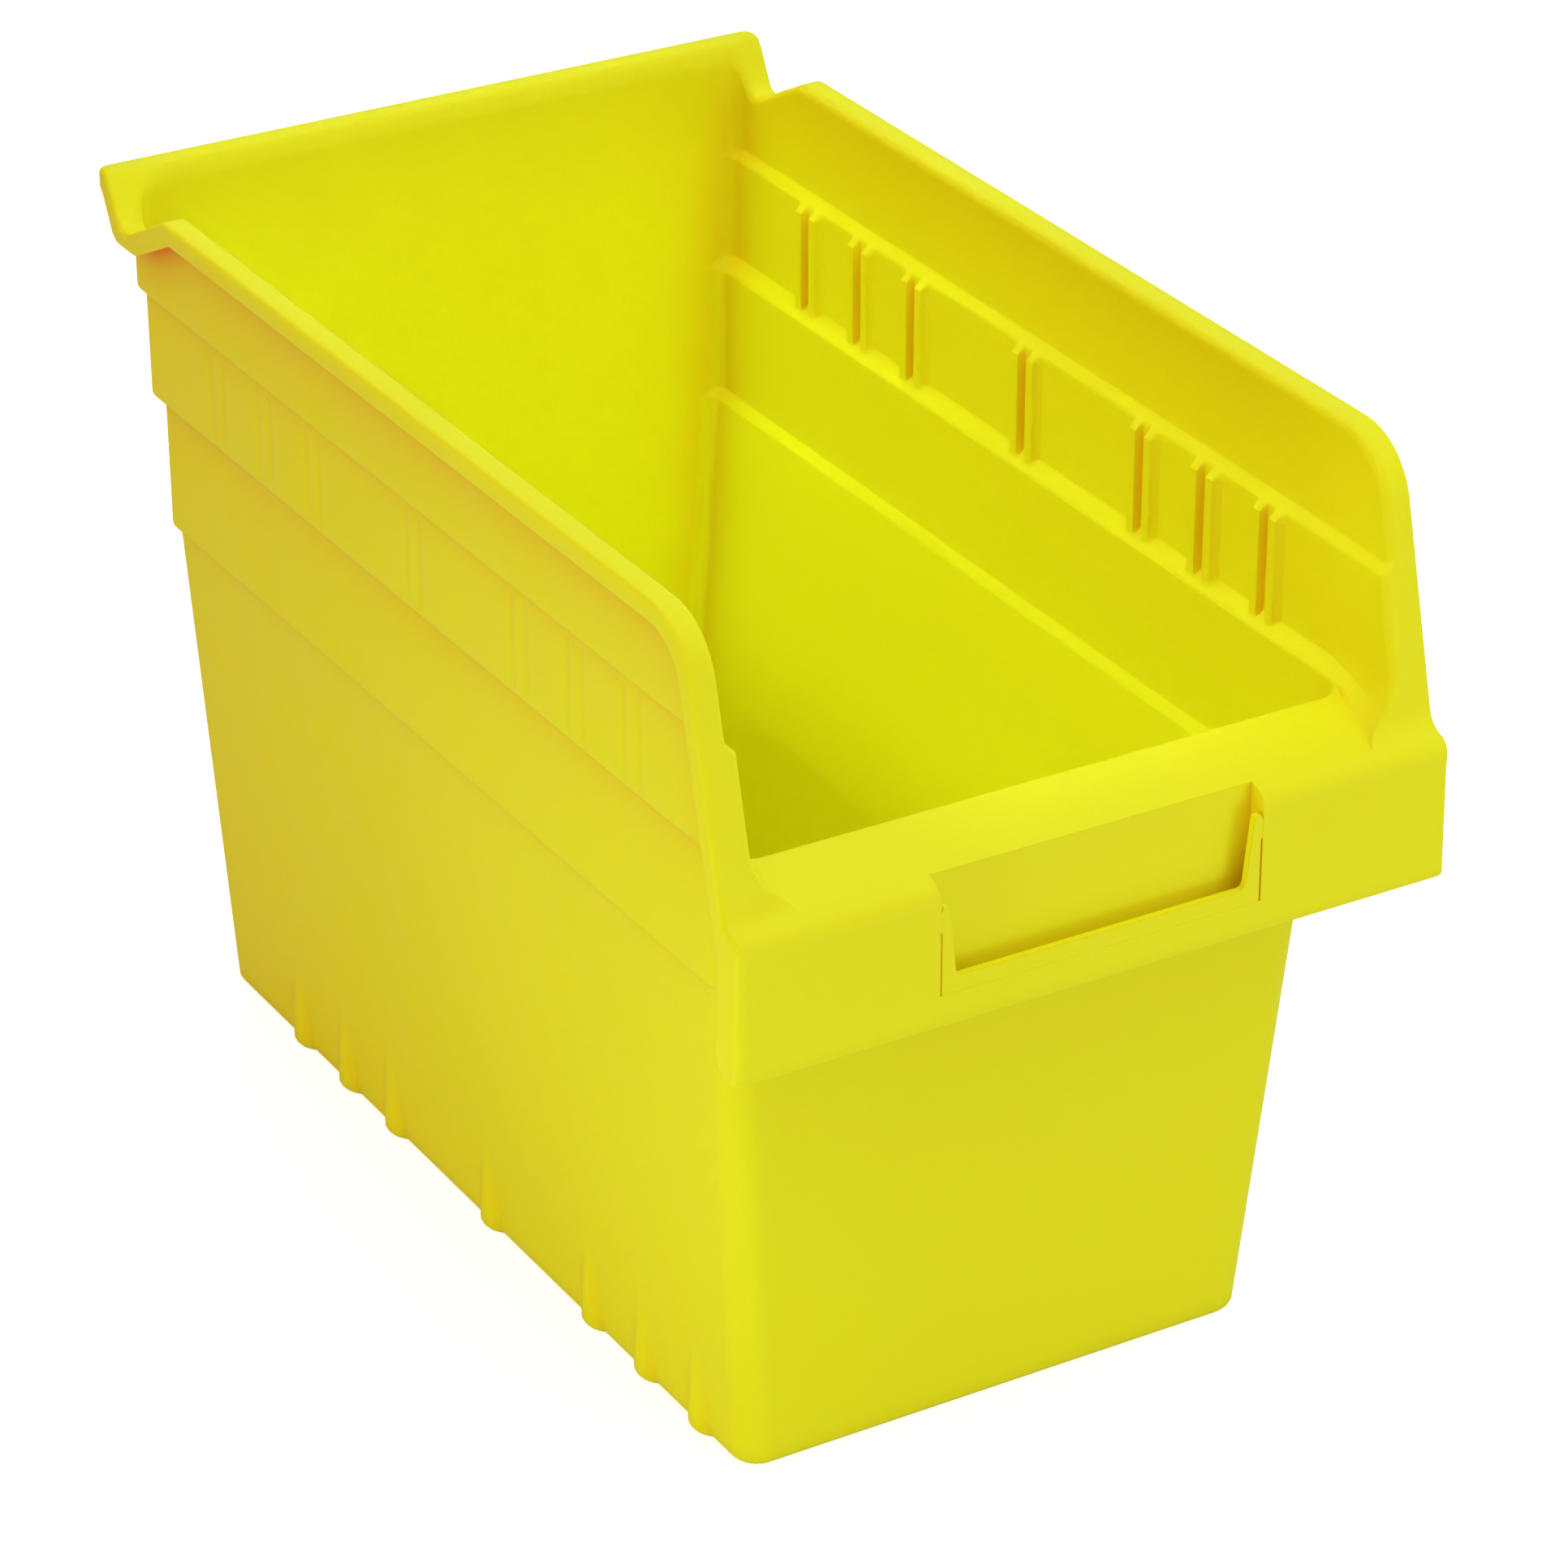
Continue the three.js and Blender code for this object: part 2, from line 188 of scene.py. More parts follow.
# Label frame: bar width, how it sits in the recess, and the ears at its upper ends.
FRAME_BAR = 3.5
FRAME_SET_BACK = 0.12
FRAME_DEEP = 1.6
FRAME_LAP = 0.2
GROOVE = 0.5
GROOVE_SIDE = 0.28
EAR_HEIGHT = 5.0
EAR_STEP = 0.6
EAR_CORNER = (0.3, 1.2)
EAR_TOP_INSET = 0.4
EAR_TOP_CHAMFER = 0.5
INNER_LEAN = 0.15
INNER_CORNER = (0.75, 1.0)
FRAME_BEVEL = 0.18
BEVEL_FROM = 0.45

# Rows of the mesh. A run is a list of shares of the way from one bend to the next.
BEND = 5
SMALL_BEND = 3
LOW_RUN = (0.03, 0.045, 0.065, 0.09, 0.12, 0.15, 0.18, 0.21, 0.245, 0.3, 0.45, 0.65, 0.85)
MID_RUN = (0.1, 0.4, 0.7, 0.9)
LEDGE_RUN = (0.2, 0.4, 0.6, 0.8)
STATION_RUN = (0.12, 0.35, 0.6, 0.82, 0.92, 0.94, 0.97)
TOP_RUN = (0.1, 0.25, 0.4, 0.52, 0.62, 0.7, 0.77, 0.83, 0.88, 0.92, 0.96, 1.0)
LEDGE_ROWS = BEND // 2 + 1 + len(LEDGE_RUN) + SMALL_BEND
HALF_CORNER = 9
BEND_ANGLES = np.radians((0, 18, 36, 54, 72, 90))
HOPPER_ROW_YS = (-119.0, -120.8, -123.5, -126.8)
HEM = 0.4
HEM_RISE = 0.6
SKIRT_ZS = (137.5, 134.0, 130.0, 126.0, LABEL_BOTTOM, LABEL_BOTTOM - WALL, 116.0, LIP_BOTTOM + HEM_RISE)

# Columns of the mesh: across the back, round a corner, along the side and across the hopper's front.
BACK_FRACTIONS = (0.0, 0.25, 0.5, 0.75, 0.9)
ARC_STEPS = 14
NOTCH_STEP = 0.9
NOTCH_MARGIN = 0.8
SIDE_END = -96.0
STATION_SPREAD = (0.0, 0.6, 1.1, SLOT_HALF, SLOT_HALF + RAMP, 2.5, 3.3, 4.0, 4.5, 5.2)
HOPPER_XS = (59.0, 55.0, 49.0, 44.0, LABEL_HALF + WALL, LABEL_HALF, 33.0, 27.0, 20.0, 10.0, 0.0)

WELD = 2e-5
SHARP_ANGLE = math.radians(38)


# ---- Two-dimensional helpers ----

def unit(vector):
    """The vector at length 1."""
    return vector / np.linalg.norm(vector)


def fillet(before, corner, after, radius, count):
    """Points of the arc that rounds a corner, from one tangent point to the other."""
    toward = unit(np.asarray(before) - corner)
    away = unit(np.asarray(after) - corner)
    half = math.acos(float(np.clip(toward @ away, -1, 1))) / 2
    reach = radius / math.tan(half)
    centre = corner + unit(toward + away) * radius / math.sin(half)
    start = corner + toward * reach - centre
    end = corner + away * reach - centre
    sweep = math.pi - 2 * half
    turn = np.sign(start[0] * end[1] - start[1] * end[0])
    points = []
    for step in range(count):
        angle = turn * sweep * step / (count - 1)
        c, s = math.cos(angle), math.sin(angle)
        points.append(centre + np.array([c * start[0] - s * start[1], s * start[0] + c * start[1]]))
    return points


def run(start, end, fractions):
    """Points at the given shares of the way from start to end."""
    return [start + (end - start) * f for f in fractions]


def normals_2d(points):
    """Unit normals of an open line, to the left of its direction."""
    along = np.gradient(np.asarray(points), axis=0)
    along /= np.linalg.norm(along, axis=1)[:, None]
    return np.stack([-along[:, 1], along[:, 0]], axis=1)


def lip_plane(y):
    """Height of the hopper's sloping top at y."""
    return LIP_INNER[1] + (y - LIP_INNER[0]) * LIP_SLOPE


# ---- Wall profiles: rows from the floor up, for the inner skin (0) and the outer skin (1) ----

def side_corners(skin):
    """Corners of the side wall's face, as (x, z)."""
    points = [np.array([BASE_HALF, 0.0])]
    for z, half, out in (LEDGE_1, LEDGE_2, LEDGE_3):
        points += [np.array([half, z]), np.array([half + out, z + out])]
    points.append(np.array([TOP_HALF, RAIL_TOP]))
    if skin:
        return points
    inner = [p + np.array([-WALL, STEP_MITRE]) for p in points]
    inner[0][1] = 0.0
    inner[-1][1] = RAIL_TOP
    return inner


def front_corners(skin):
    """Corners of the front wall's face up to the hopper lip, as (y, z)."""
    step = LEDGE_1[2]
    outer = [
        np.array([FRONT_FOOT, 0.0]),
        np.array([FRONT_TOP, LEDGE_1[0]]),
        np.array([FRONT_TOP - step, LEDGE_1[0] + step]),
        np.array([THROAT_TOP, lip_plane(THROAT_TOP) - LIP_DROP]),
        np.array([FRONT, LIP_OUTER[1] - LIP_DROP]),
    ]
    if skin:
        return outer
    return [
        outer[0] + np.array([WALL, 0.0]),
        outer[1] + np.array([WALL, STEP_MITRE]),
        outer[2] + np.array([WALL, STEP_MITRE]),
        LIP_INNER,
        LIP_OUTER,
    ]


def lower_profile(corners, convex, concave):
    """Rows of a wall face from just above the floor to the middle of the bend at the hopper lip."""
    first = fillet(corners[0], corners[1], corners[2], convex, SMALL_BEND)
    second = fillet(corners[1], corners[2], corners[3], concave, SMALL_BEND)
    lip = fillet(corners[2], corners[3], corners[4], convex, BEND)
    rows = run(corners[0], first[0], LOW_RUN) + first + second
    rows += run(second[-1], lip[0], MID_RUN) + lip[: BEND // 2 + 1]
    return rows


def profile_pair(corners_of):
    """A wall's lower profile on the inner skin and on the outer skin."""
    return [lower_profile(corners_of(skin), *BENDS[skin]) for skin in (0, 1)]


SIDE_LOW = profile_pair(side_corners)
FRONT_LOW = profile_pair(front_corners)


def upper_profile(skin):
    """Rows of the side wall from the middle of the second ledge's lower bend to the third ledge's top."""
    c = side_corners(skin)
    convex, concave = BENDS[skin]
    lower = fillet(c[2], c[3], c[4], convex, BEND)[BEND // 2:]
    upper = fillet(c[3], c[4], c[5], concave, SMALL_BEND)
    third = fillet(c[4], c[5], c[6], convex, SMALL_BEND)
    fourth = fillet(c[5], c[6], c[7], concave, SMALL_BEND)
    ledge = run(lower[-1], upper[0], LEDGE_RUN)
    band = run(upper[-1], third[0], STATION_RUN)
    return lower + ledge + upper + band + third + fourth


SIDE_HIGH = [upper_profile(0), upper_profile(1)]


def back_y(z, skin):
    """The back wall's y at height z. The wall leans by its draft."""
    outer = BACK_OUTER - BACK_DRAFT * (1 - z / RAIL_TOP)
    return outer - (0.0 if skin else WALL)


# ---- The rim's height, seen from the side ----

def rim_line():
    """The top surface from the rail to the front corner's start, as (y, z) points going forward."""
    rail, valley, peak = RAIL_FRONT[0], VALLEY[0], PEAK[0]
    rear = np.array([BACK + 5, RAIL_TOP])
    line = [rear]
    line += fillet(rear, rail, valley, RAIL_FRONT[1], 9)
    line += fillet(rail, valley, peak, VALLEY[1], 13)
    line += fillet(valley, peak, RIM_CORNER[0], PEAK[1], 7)
    line.append(RIM_CORNER[0])
    return np.array(line)


RIM_LINE = rim_line()


def rim_z(y):
    """Height of the rim's top surface at y."""
    return np.interp(y, RIM_LINE[::-1, 0], RIM_LINE[::-1, 1])


def under_line():
    """The rim's underside as (y, z), WALL below the top surface measured square to it."""
    ys = np.linspace(RIM_CORNER[0][0] + 6, BACK + 4, 900)
    points = np.stack([ys, rim_z(ys)], axis=1)
    lowered = points - normals_2d(points) * WALL
    keep = [lowered[0]]
    for point in lowered[1:]:
        if point[0] > keep[-1][0]:
            keep.append(point)
    return np.array(keep)


UNDER_LINE = under_line()


def under_z(y):
    """Height of the rim's underside at y."""
    return np.interp(y, UNDER_LINE[:, 0], UNDER_LINE[:, 1])


def skirt_line():
    """The lower edge of the rim's skirt as (y, z), following the notch with rounder corners."""
    corners = [(np.array([BACK + 1, RAIL_SKIRT_Z]), 0)]
    corners += [(np.array([y, z]), radius) for y, z, radius in NOTCH_SKIRT]
    corners.append((np.array([RIM_CORNER[0][0], RIM_SKIRT_Z]), 0))
    line = [corners[0][0]]
    for before, (corner, radius), after in zip(corners, corners[1:], corners[2:]):
        line += fillet(before[0], corner, after[0], radius, 9)
    line.append(corners[-1][0])
    return np.array(line)


SKIRT_LINE = skirt_line()


def skirt_z(y):
    """Height of the skirt's lower edge at y."""
    return np.interp(y, SKIRT_LINE[::-1, 0], SKIRT_LINE[::-1, 1])


# ---- Columns round half of the bin, from the back's centre to the front's ----

def side_columns():
    """The y of each column on the side wall, from the back corner's start to the front corner's."""
    start = BACK_OUTER - BACK_CORNER
    first_station = STATION_YS[-1] + STATION_SPREAD[-1]
    ys = list(np.arange(start, first_station + NOTCH_MARGIN, -NOTCH_STEP))
    for y in STATION_YS[::-1]:
        ys += [y + d for d in STATION_SPREAD[:0:-1]]
        ys += [y - d for d in STATION_SPREAD]
        ys.append(y - STATION_PITCH / 2)
    return ys[:-1] + [SIDE_END]


SIDE_YS = side_columns()
FRONT_ARC_COLUMN = len(BACK_FRACTIONS) + ARC_STEPS + len(SIDE_YS)
THROAT_STRAIGHT = LEDGE_2[1] - THROAT_CORNER
RECESS_COLUMN = ARC_STEPS + 1 + HOPPER_XS.index(LABEL_HALF)


def station_offset(y):
    """Distance along the wall from the nearest divider station."""
    return min((y - s for s in STATION_YS), key=abs)


def rib_weight(dy):
    """1 on a rib's face, 0 off it, with a short ramp at each side."""
    edge = SLOT_HALF + RIB_WIDTH
    stops = (SLOT_HALF, SLOT_HALF + RAMP, edge - RAMP, edge + RIB_FADE)
    return float(np.interp(abs(dy), stops, (0, 1, 1, 0)))


def side_x(x, z, y, skin):
    """The wall face's x with the divider ribs, their sink marks and the foot bars worked in."""
    dy = station_offset(y)
    bar = BAR_RADIUS - (0 if skin else WALL)
    if abs(dy) < bar:
        x = max(x, BASE_HALF - BAR_RADIUS + BAR_OUT - BAR_TILT * z + math.sqrt(bar * bar - dy * dy))
    face = LEDGE_3[1] - WALL
    ledge_z = LEDGE_3[0] + STEP_MITRE
    if skin == 0 and LEDGE_2[0] < z < ledge_z:
        rib = min(x, max(face - RIB_DEPTH, face + z - ledge_z))
        x -= rib_weight(dy) * (x - rib)
    if skin == 1 and LEDGE_2[0] + LEDGE_2[2] + SINK_MARGIN < z < LEDGE_3[0] - SINK_MARGIN:
        from_rib = abs(dy) - SLOT_HALF - RIB_WIDTH / 2
        x -= SINK_DEPTH * math.exp(-((from_rib / SINK_WIDTH) ** 2))
    return x


def arc(centre_x, centre_y, radius, start, end, steps):
    """Points of an arc from the start angle to the end angle, in degrees."""
    angles = np.radians(np.linspace(start, end, steps + 1))
    return [(centre_x + radius * math.cos(a), centre_y + radius * math.sin(a)) for a in angles]


def ring(side, front, inset, skin):
    """One row round half of the tube: (x, y, z) from the back's centre to the front's centre."""
    half, z_side = side
    y_front, z_front = front
    y_back = back_y(z_side, skin)
    shrink = 0 if skin else WALL
    rise = np.clip((z_front - LEDGE_1[0]) / (LIP_INNER[1] - LEDGE_1[0]), 0, 1)
    back_r = BACK_CORNER - shrink
    front_r = FRONT_CORNER + (THROAT_CORNER - FRONT_CORNER) * rise - shrink
    points = [((half - back_r) * f, y_back - inset, z_side) for f in BACK_FRACTIONS]
    centre = (half - back_r, y_back - back_r)
    points += [(x, y, z_side) for x, y in arc(*centre, back_r - inset, 90, 0, ARC_STEPS)][:-1]
    for y in [centre[1]] + SIDE_YS[1:]:
        points.append((side_x(half, z_side, y, skin) - inset, y, z_side))
    centre = (half - front_r, y_front + front_r)
    for i, (x, y) in enumerate(arc(*centre, front_r - inset, 0, -90, ARC_STEPS)):
        points.append((x, y, z_side + (z_front - z_side) * i / ARC_STEPS))
    straight = half - front_r
    points += [(straight * x / THROAT_STRAIGHT, y_front + inset, z_front) for x in HOPPER_XS]
    return np.array(points)


def tube(skin):
    """The walls from the floor's edge up to the hopper lip, row by row."""
    base = 0.0 if skin else FLOOR
    radius = BASE_ROUNDS[skin]
    side_foot, front_foot = SIDE_LOW[skin][0], FRONT_LOW[skin][0]
    rows = []
    for angle in BEND_ANGLES[:-1]:
        inset = radius * (1 - math.sin(angle))
        z = base + radius * (1 - math.cos(angle))
        rows.append(ring((side_foot[0], z), (front_foot[0], z), inset, skin))
    for side, front in zip(SIDE_LOW[skin], FRONT_LOW[skin]):
        if side[1] > FLOOR + BASE_ROUNDS[0]:
            rows.append(ring(side, front, 0.0, skin))
    return np.array(rows)


# ---- The front path: the rim's top surface from the skirt's lower edge to the top corner ----

def front_path():
    """The lip's bend, the foot's blend and the top corner's bend, as lists of (y, z).

    The foot is where the leaning front edge meets the hopper's slope, found by repeated steps.
    """
    foot = RIM_CORNER[0].copy()
    for _ in range(20):
        foot[0] = RIM_CORNER[0][0] - (RIM_TOP - foot[1]) * RIM_LEAN
        foot[1] = lip_plane(foot[0])
    bottom = np.array([FRONT, LIP_BOTTOM])
    lip = fillet(bottom, LIP_OUTER, foot, LIP_ROUND, 9)
    blend = fillet(LIP_OUTER, foot, RIM_CORNER[0], FOOT_ROUND, 9)
    corner = fillet(foot, RIM_CORNER[0], np.array([0.0, RIM_TOP]), RIM_CORNER[1], 2 * HALF_CORNER + 1)
    return lip, blend, corner


LIP_BEND, FOOT_BLEND, TOP_BEND = front_path()
FOOT = FOOT_BLEND[0]
EDGE_LINE = np.array(FOOT_BLEND + TOP_BEND)
EDGE_INWARD = -normals_2d(EDGE_LINE)
EDGE_SLOPE_FROM = FOOT_BLEND[-1]


def on_edge(z):
    """The front edge's path point and inward normal at height z."""
    y = np.interp(z, EDGE_LINE[:, 1], EDGE_LINE[:, 0])
    normal = unit(np.array([np.interp(z, EDGE_LINE[:, 1], EDGE_INWARD[:, i]) for i in (0, 1)]))
    return np.array([y, z]), normal


def hold(z):
    """How far the inner bend reaches at the front edge. It grows from nothing at the foot."""
    return EDGE_ROUND * float(np.clip((z - FOOT[1]) / EDGE_ROUND_GROWTH, 0, 1))


def hopper_bend(skin):
    """The bend from the front wall on to the hopper's slope, as (y, z)."""
    c = front_corners(skin)
    return fillet(c[2], c[3], c[4], BENDS[skin][0], BEND)


# Rows across the hopper's top: the rest of that bend, then the slope down to the foot.
BEND_REST = BEND - BEND // 2 - 1
MOUTH_Y = FRONT_LOW[0][-1][0]
HOPPER_YS = [p[0] for p in hopper_bend(0)[-BEND_REST:]]
HOPPER_YS += [*HOPPER_ROW_YS, LABEL_FLOOR + WALL, LABEL_FLOOR, FOOT[0]]
EXTENSION = [(y - MOUTH_Y) / (FOOT[0] - MOUTH_Y) for y in HOPPER_YS]
assert len(EXTENSION) == HALF_CORNER
RECESS_ROW = 1 + HOPPER_YS.index(LABEL_FLOOR)


def crease(y, skin):
    """Where the second ledge's slope, carried forward, meets the hopper's sloping top: (x, z)."""
    half, z = side_corners(skin)[3]
    fall = min(0.0, lip_plane(y) - (LIP_DROP if skin else 0.0) - z)
    return half + fall, z + fall


# ---- Upper walls ----

def edge_path_points():
    """The front edge's path point and inward normal for each row of the upper wall."""
    foot_z = FOOT[1]
    z_first, z_ledge = SIDE_HIGH[0][0][1], SIDE_HIGH[0][LEDGE_ROWS][1]
    points = []
    for k, (_, z) in enumerate(SIDE_HIGH[0]):
        if k < LEDGE_ROWS:
            z = foot_z + (z_ledge - foot_z) * (z - z_first) / (z_ledge - z_first)
        points.append(on_edge(z))
    start = points[-1][0]
    bend = TOP_BEND[: HALF_CORNER + 1]
    straight = len(TOP_RUN) - len(bend)
    for i in range(straight):
        points.append(on_edge(start[1] + (bend[0][1] - start[1]) * (i + 1) / (straight + 1)))
    first = len(FOOT_BLEND)
    points += [(EDGE_LINE[first + i], EDGE_INWARD[first + i]) for i in range(HALF_CORNER + 1)]
    return points


EDGE_ROWS = edge_path_points()


def upper_wall(skin, tube_top):
    """Rows above the hopper lip, from the back's centre forward to the front edge.

    The last column follows the front edge and the last row follows the rim. Both are held back from
    the rim's surface by the bend that joins them to the flange.
    """
    first = tube_top[: FRONT_ARC_COLUMN + 1]
    arc_y = first[-1, 1]
    half = TOP_HALF - (0 if skin else WALL)
    profile = SIDE_HIGH[skin]
    z_first, z_ledge = profile[0][1], profile[LEDGE_ROWS][1]
    rows = []
    for k, (x, z) in enumerate(profile):
        row = ring((x, z), (0.0, z), 0.0, skin)[: FRONT_ARC_COLUMN + 1]
        column_y = arc_y + (CORNER_START - arc_y) * min(1.0, k / LEDGE_ROWS)
        row[-1] = (side_x(x, z, column_y, skin), column_y, z)
        if k == 0:
            row = first.copy()
        point, normal = EDGE_ROWS[k]
        end = point + normal * (hold(point[1]) if skin == 0 else WALL + UNDER_BEND * hold(point[1]))
        extra = []
        for s in EXTENSION:
            low_y = arc_y + (FOOT[0] - arc_y) * s
            low_x, low_z = crease(low_y, skin)
            share = (z - z_first) / (z_ledge - z_first)
            here_y = column_y + (end[0] - column_y) * s
            here_z = low_z + (z_ledge - low_z) * share if k < LEDGE_ROWS else z
            end_low = crease(FOOT[0], skin)[1]
            end_z = end_low + (z_ledge - end_low) * share if k < LEDGE_ROWS else z
            here_z += (end[1] - end_z) * s if k else 0.0
            here_x = min(low_x + here_z - low_z, profile[LEDGE_ROWS - 2][0]) if k < LEDGE_ROWS else x
            extra.append((here_x, low_y if k == 0 else here_y, low_z if k == 0 else here_z))
        rows.append(np.vstack([row, extra]))
    base = rows[-1]
    top = rim_boundary(base, skin, half)
    for t, (point, normal) in zip(TOP_RUN, EDGE_ROWS[len(profile):]):
        held = point + normal * (EDGE_ROUND if skin == 0 else WALL + UNDER_BEND)
        row = base + (top - base) * t
        shift = np.array([half, held[0], held[1]]) - row[-1]
        for j, s in enumerate(EXTENSION):
            row[FRONT_ARC_COLUMN + 1 + j] += shift * s
        rows.append(row)
    return np.array(rows)


def rim_boundary(base, skin, half):
    """The upper wall's last row, just under the rim."""
    top = base.copy()
    reach = base[FRONT_ARC_COLUMN, 0]
    top[:, 0] = base[:, 0] * (1 + (half - reach) / reach)
    for i in range(FRONT_ARC_COLUMN + 1):
        if i < len(BACK_FRACTIONS) + ARC_STEPS:
            top[i, 1] += back_y(RAIL_TOP, skin) - back_y(base[i, 2], skin)
        y = top[i, 1]
        top[i, 2] = rim_z(y) - EDGE_ROUND if skin == 0 else under_z(y) - UNDER_BEND
    last = len(EDGE_LINE) - 1
    for j in range(HALF_CORNER):
        i = last - 1 - j
        y, z = EDGE_LINE[i] + EDGE_INWARD[i] * (EDGE_ROUND if skin == 0 else WALL + UNDER_BEND)
        top[FRONT_ARC_COLUMN + 1 + j] = (half, y, z)
    return top


# ---- Hopper top and skirt, between the cheeks ----

SKIRT_PATH = LIP_BEND[::-1] + [np.array([FRONT, z]) for z in SKIRT_ZS]
SKIRT_PATH.append(np.array([FRONT + HEM, LIP_BOTTOM]))
SHELF_ROW = len(EXTENSION) + len(LIP_BEND) + 1 + SKIRT_ZS.index(LABEL_BOTTOM)


def skirt_path(skin):
    """The path forward of the foot: over the lip and down the front, on either skin."""
    if skin == 0:
        return SKIRT_PATH
    moved = []
    for i, point in enumerate(SKIRT_PATH):
        turn = np.clip(i / (len(LIP_BEND) - 1), 0, 1)
        angle = -math.pi / 2 + LIP_ANGLE + turn * (math.pi / 2 - LIP_ANGLE)
        moved.append(point + WALL * np.array([math.cos(angle), math.sin(angle)]))
    moved[-1] = np.array([FRONT + WALL - HEM, LIP_BOTTOM])
    return moved


def hopper(skin, tube_top):
    """Rows from the hopper's mouth forward, over the lip and down the skirt."""
    mouth = tube_top[FRONT_ARC_COLUMN:]
    arc_y = mouth[0, 1]
    foot_x = crease(FOOT[0], skin)[0]
    foot_xs = np.concatenate([np.linspace(foot_x, HOPPER_XS[0] + 1, ARC_STEPS + 1), HOPPER_XS])
    shares = np.clip(np.arange(len(mouth)) / ARC_STEPS, 0, 1)
    drop = LIP_DROP if skin else 0.0
    z_mouth = side_corners(skin)[3][1]
    bend = hopper_bend(skin)[-BEND_REST:]
    rows = [mouth]
    for r, s in enumerate(EXTENSION):
        row = np.zeros_like(mouth)
        row[:, 0] = mouth[:, 0] + (foot_xs - mouth[:, 0]) * s
        row[:, 1] = mouth[:, 1] + (FOOT[0] - mouth[:, 1]) * s
        for c in range(len(mouth)):
            on_slope = min(lip_plane(row[c, 1]) - drop, z_mouth)
            row[c, 2] = on_slope
            if r < BEND_REST:
                row[c, 2] = on_slope + (bend[r][1] - on_slope) * shares[c] if skin == 0 else on_slope
        y = arc_y + (FOOT[0] - arc_y) * s
        row[0] = (crease(y, skin)[0], y, crease(y, skin)[1])
        rows.append(row)
    for y, z in skirt_path(skin):
        rows.append(np.stack([foot_xs, np.full(len(foot_xs), y), np.full(len(foot_xs), z)], axis=1))
    return np.array(rows)


# ---- The rim, rail and cheeks: one closed section carried right round ----

def cheek_half(z):
    """The cheek flares a little towards its lower edge."""
    low = (LIP_OUTER[1] - z) / (LIP_OUTER[1] - LIP_BOTTOM)
    return RIM_HALF + (CHEEK_HALF - RIM_HALF) * float(np.clip(low, 0, 1))


def cheek_edge_line():
    """The rear edge of the cheek, from the rim's skirt down to the lower edge, as (y, z)."""
    point, normal = on_edge(EDGE_SLOPE_FROM[1])
    start = point + normal * SKIRT
    elbow = np.array([CHEEK_BACK, LIP_OUTER[1] - ELBOW_DEPTH])
    corner = np.array([CHEEK_BACK, LIP_BOTTOM])
    line = [start] + fillet(start, elbow, corner, ELBOW_ROUND, 7)
    return np.array(line + fillet(elbow, corner, np.array([FRONT, LIP_BOTTOM]), CHEEK_CORNER, 7))


def along(line, share):
    """The point at a share of an open line's length."""
    lengths = np.concatenate([[0], np.cumsum(np.linalg.norm(np.diff(line, axis=0), axis=1))])
    return np.array([np.interp(share * lengths[-1], lengths, line[:, i]) for i in (0, 1)])


def at(x, point):
    """The (y, z) point at the given x."""
    return np.array([x, point[0], point[1]])


SIDEWAYS = np.array([1.0, 0.0, 0.0])


def front_sections(upper, hop):
    """Section frames from the skirt's lower edge up the front edge to the top corner's middle."""
    edge_line = cheek_edge_line()
    blend_rows = [k for k, (point, _) in enumerate(EDGE_ROWS) if point[1] < EDGE_SLOPE_FROM[1]]
    path = [EDGE_ROWS[k][0] for k in blend_rows[::-1]] + list(SKIRT_PATH)
    steps = np.linalg.norm(np.diff(np.array([EDGE_SLOPE_FROM] + path), axis=0), axis=1)
    shares = np.cumsum(steps) / np.sum(steps)
    frames = []
    under = skirt_path(1)
    first = 1 + len(EXTENSION)
    for i in range(len(SKIRT_PATH) - 1, -1, -1):
        point = SKIRT_PATH[i]
        normal = unit(under[i] - point) if i < len(SKIRT_PATH) - 1 else np.array([1.0, 0.0])
        edge = along(edge_line, shares[len(blend_rows) + i])
        blunt = float(np.clip((LIP_OUTER[1] - point[1]) / CHEEK_ROUND_GROWTH, 0, 1))
        frames.append({
            "start": hop[0][first + i, 0],
            "end": hop[1][first + i, 0],
            "outer": at(cheek_half(point[1]), point),
            "edge": at(cheek_half(edge[1]), edge),
            "down": at(0.0, normal),
            "hold": 0.0,
            "round": OUTER_EDGE_ROUND + (FRONT_CHEEK_ROUND - OUTER_EDGE_ROUND) * blunt,
        })
    for k, (point, normal) in enumerate(EDGE_ROWS):
        edge = point + normal * SKIRT
        if k < len(blend_rows):
            edge = along(edge_line, shares[len(blend_rows) - 1 - k])
        frames.append({
            "start": upper[0][k, -1],
            "end": upper[1][k, -1],
            "outer": at(RIM_HALF, point),
            "edge": at(RIM_HALF, edge),
            "down": at(0.0, normal),
            "hold": hold(point[1]),
            "round": OUTER_EDGE_ROUND,
        })
    return frames


def corner_frames(upper):
    """Section frames round the front half of the top corner's bend, going back."""
    frames = []
    last = len(EDGE_LINE) - 1
    for j in range(HALF_CORNER - 2, -1, -1):
        i = last - 1 - j
        frames.append({
            "start": upper[0][-1, FRONT_ARC_COLUMN + 1 + j],
            "end": upper[1][-1, FRONT_ARC_COLUMN + 1 + j],
            "outer": at(RIM_HALF, EDGE_LINE[i]),
            "edge": at(RIM_HALF, EDGE_LINE[i] + EDGE_INWARD[i] * SKIRT),
            "down": at(0.0, EDGE_INWARD[i]),
            "hold": EDGE_ROUND,
            "round": OUTER_EDGE_ROUND,
        })
    return frames


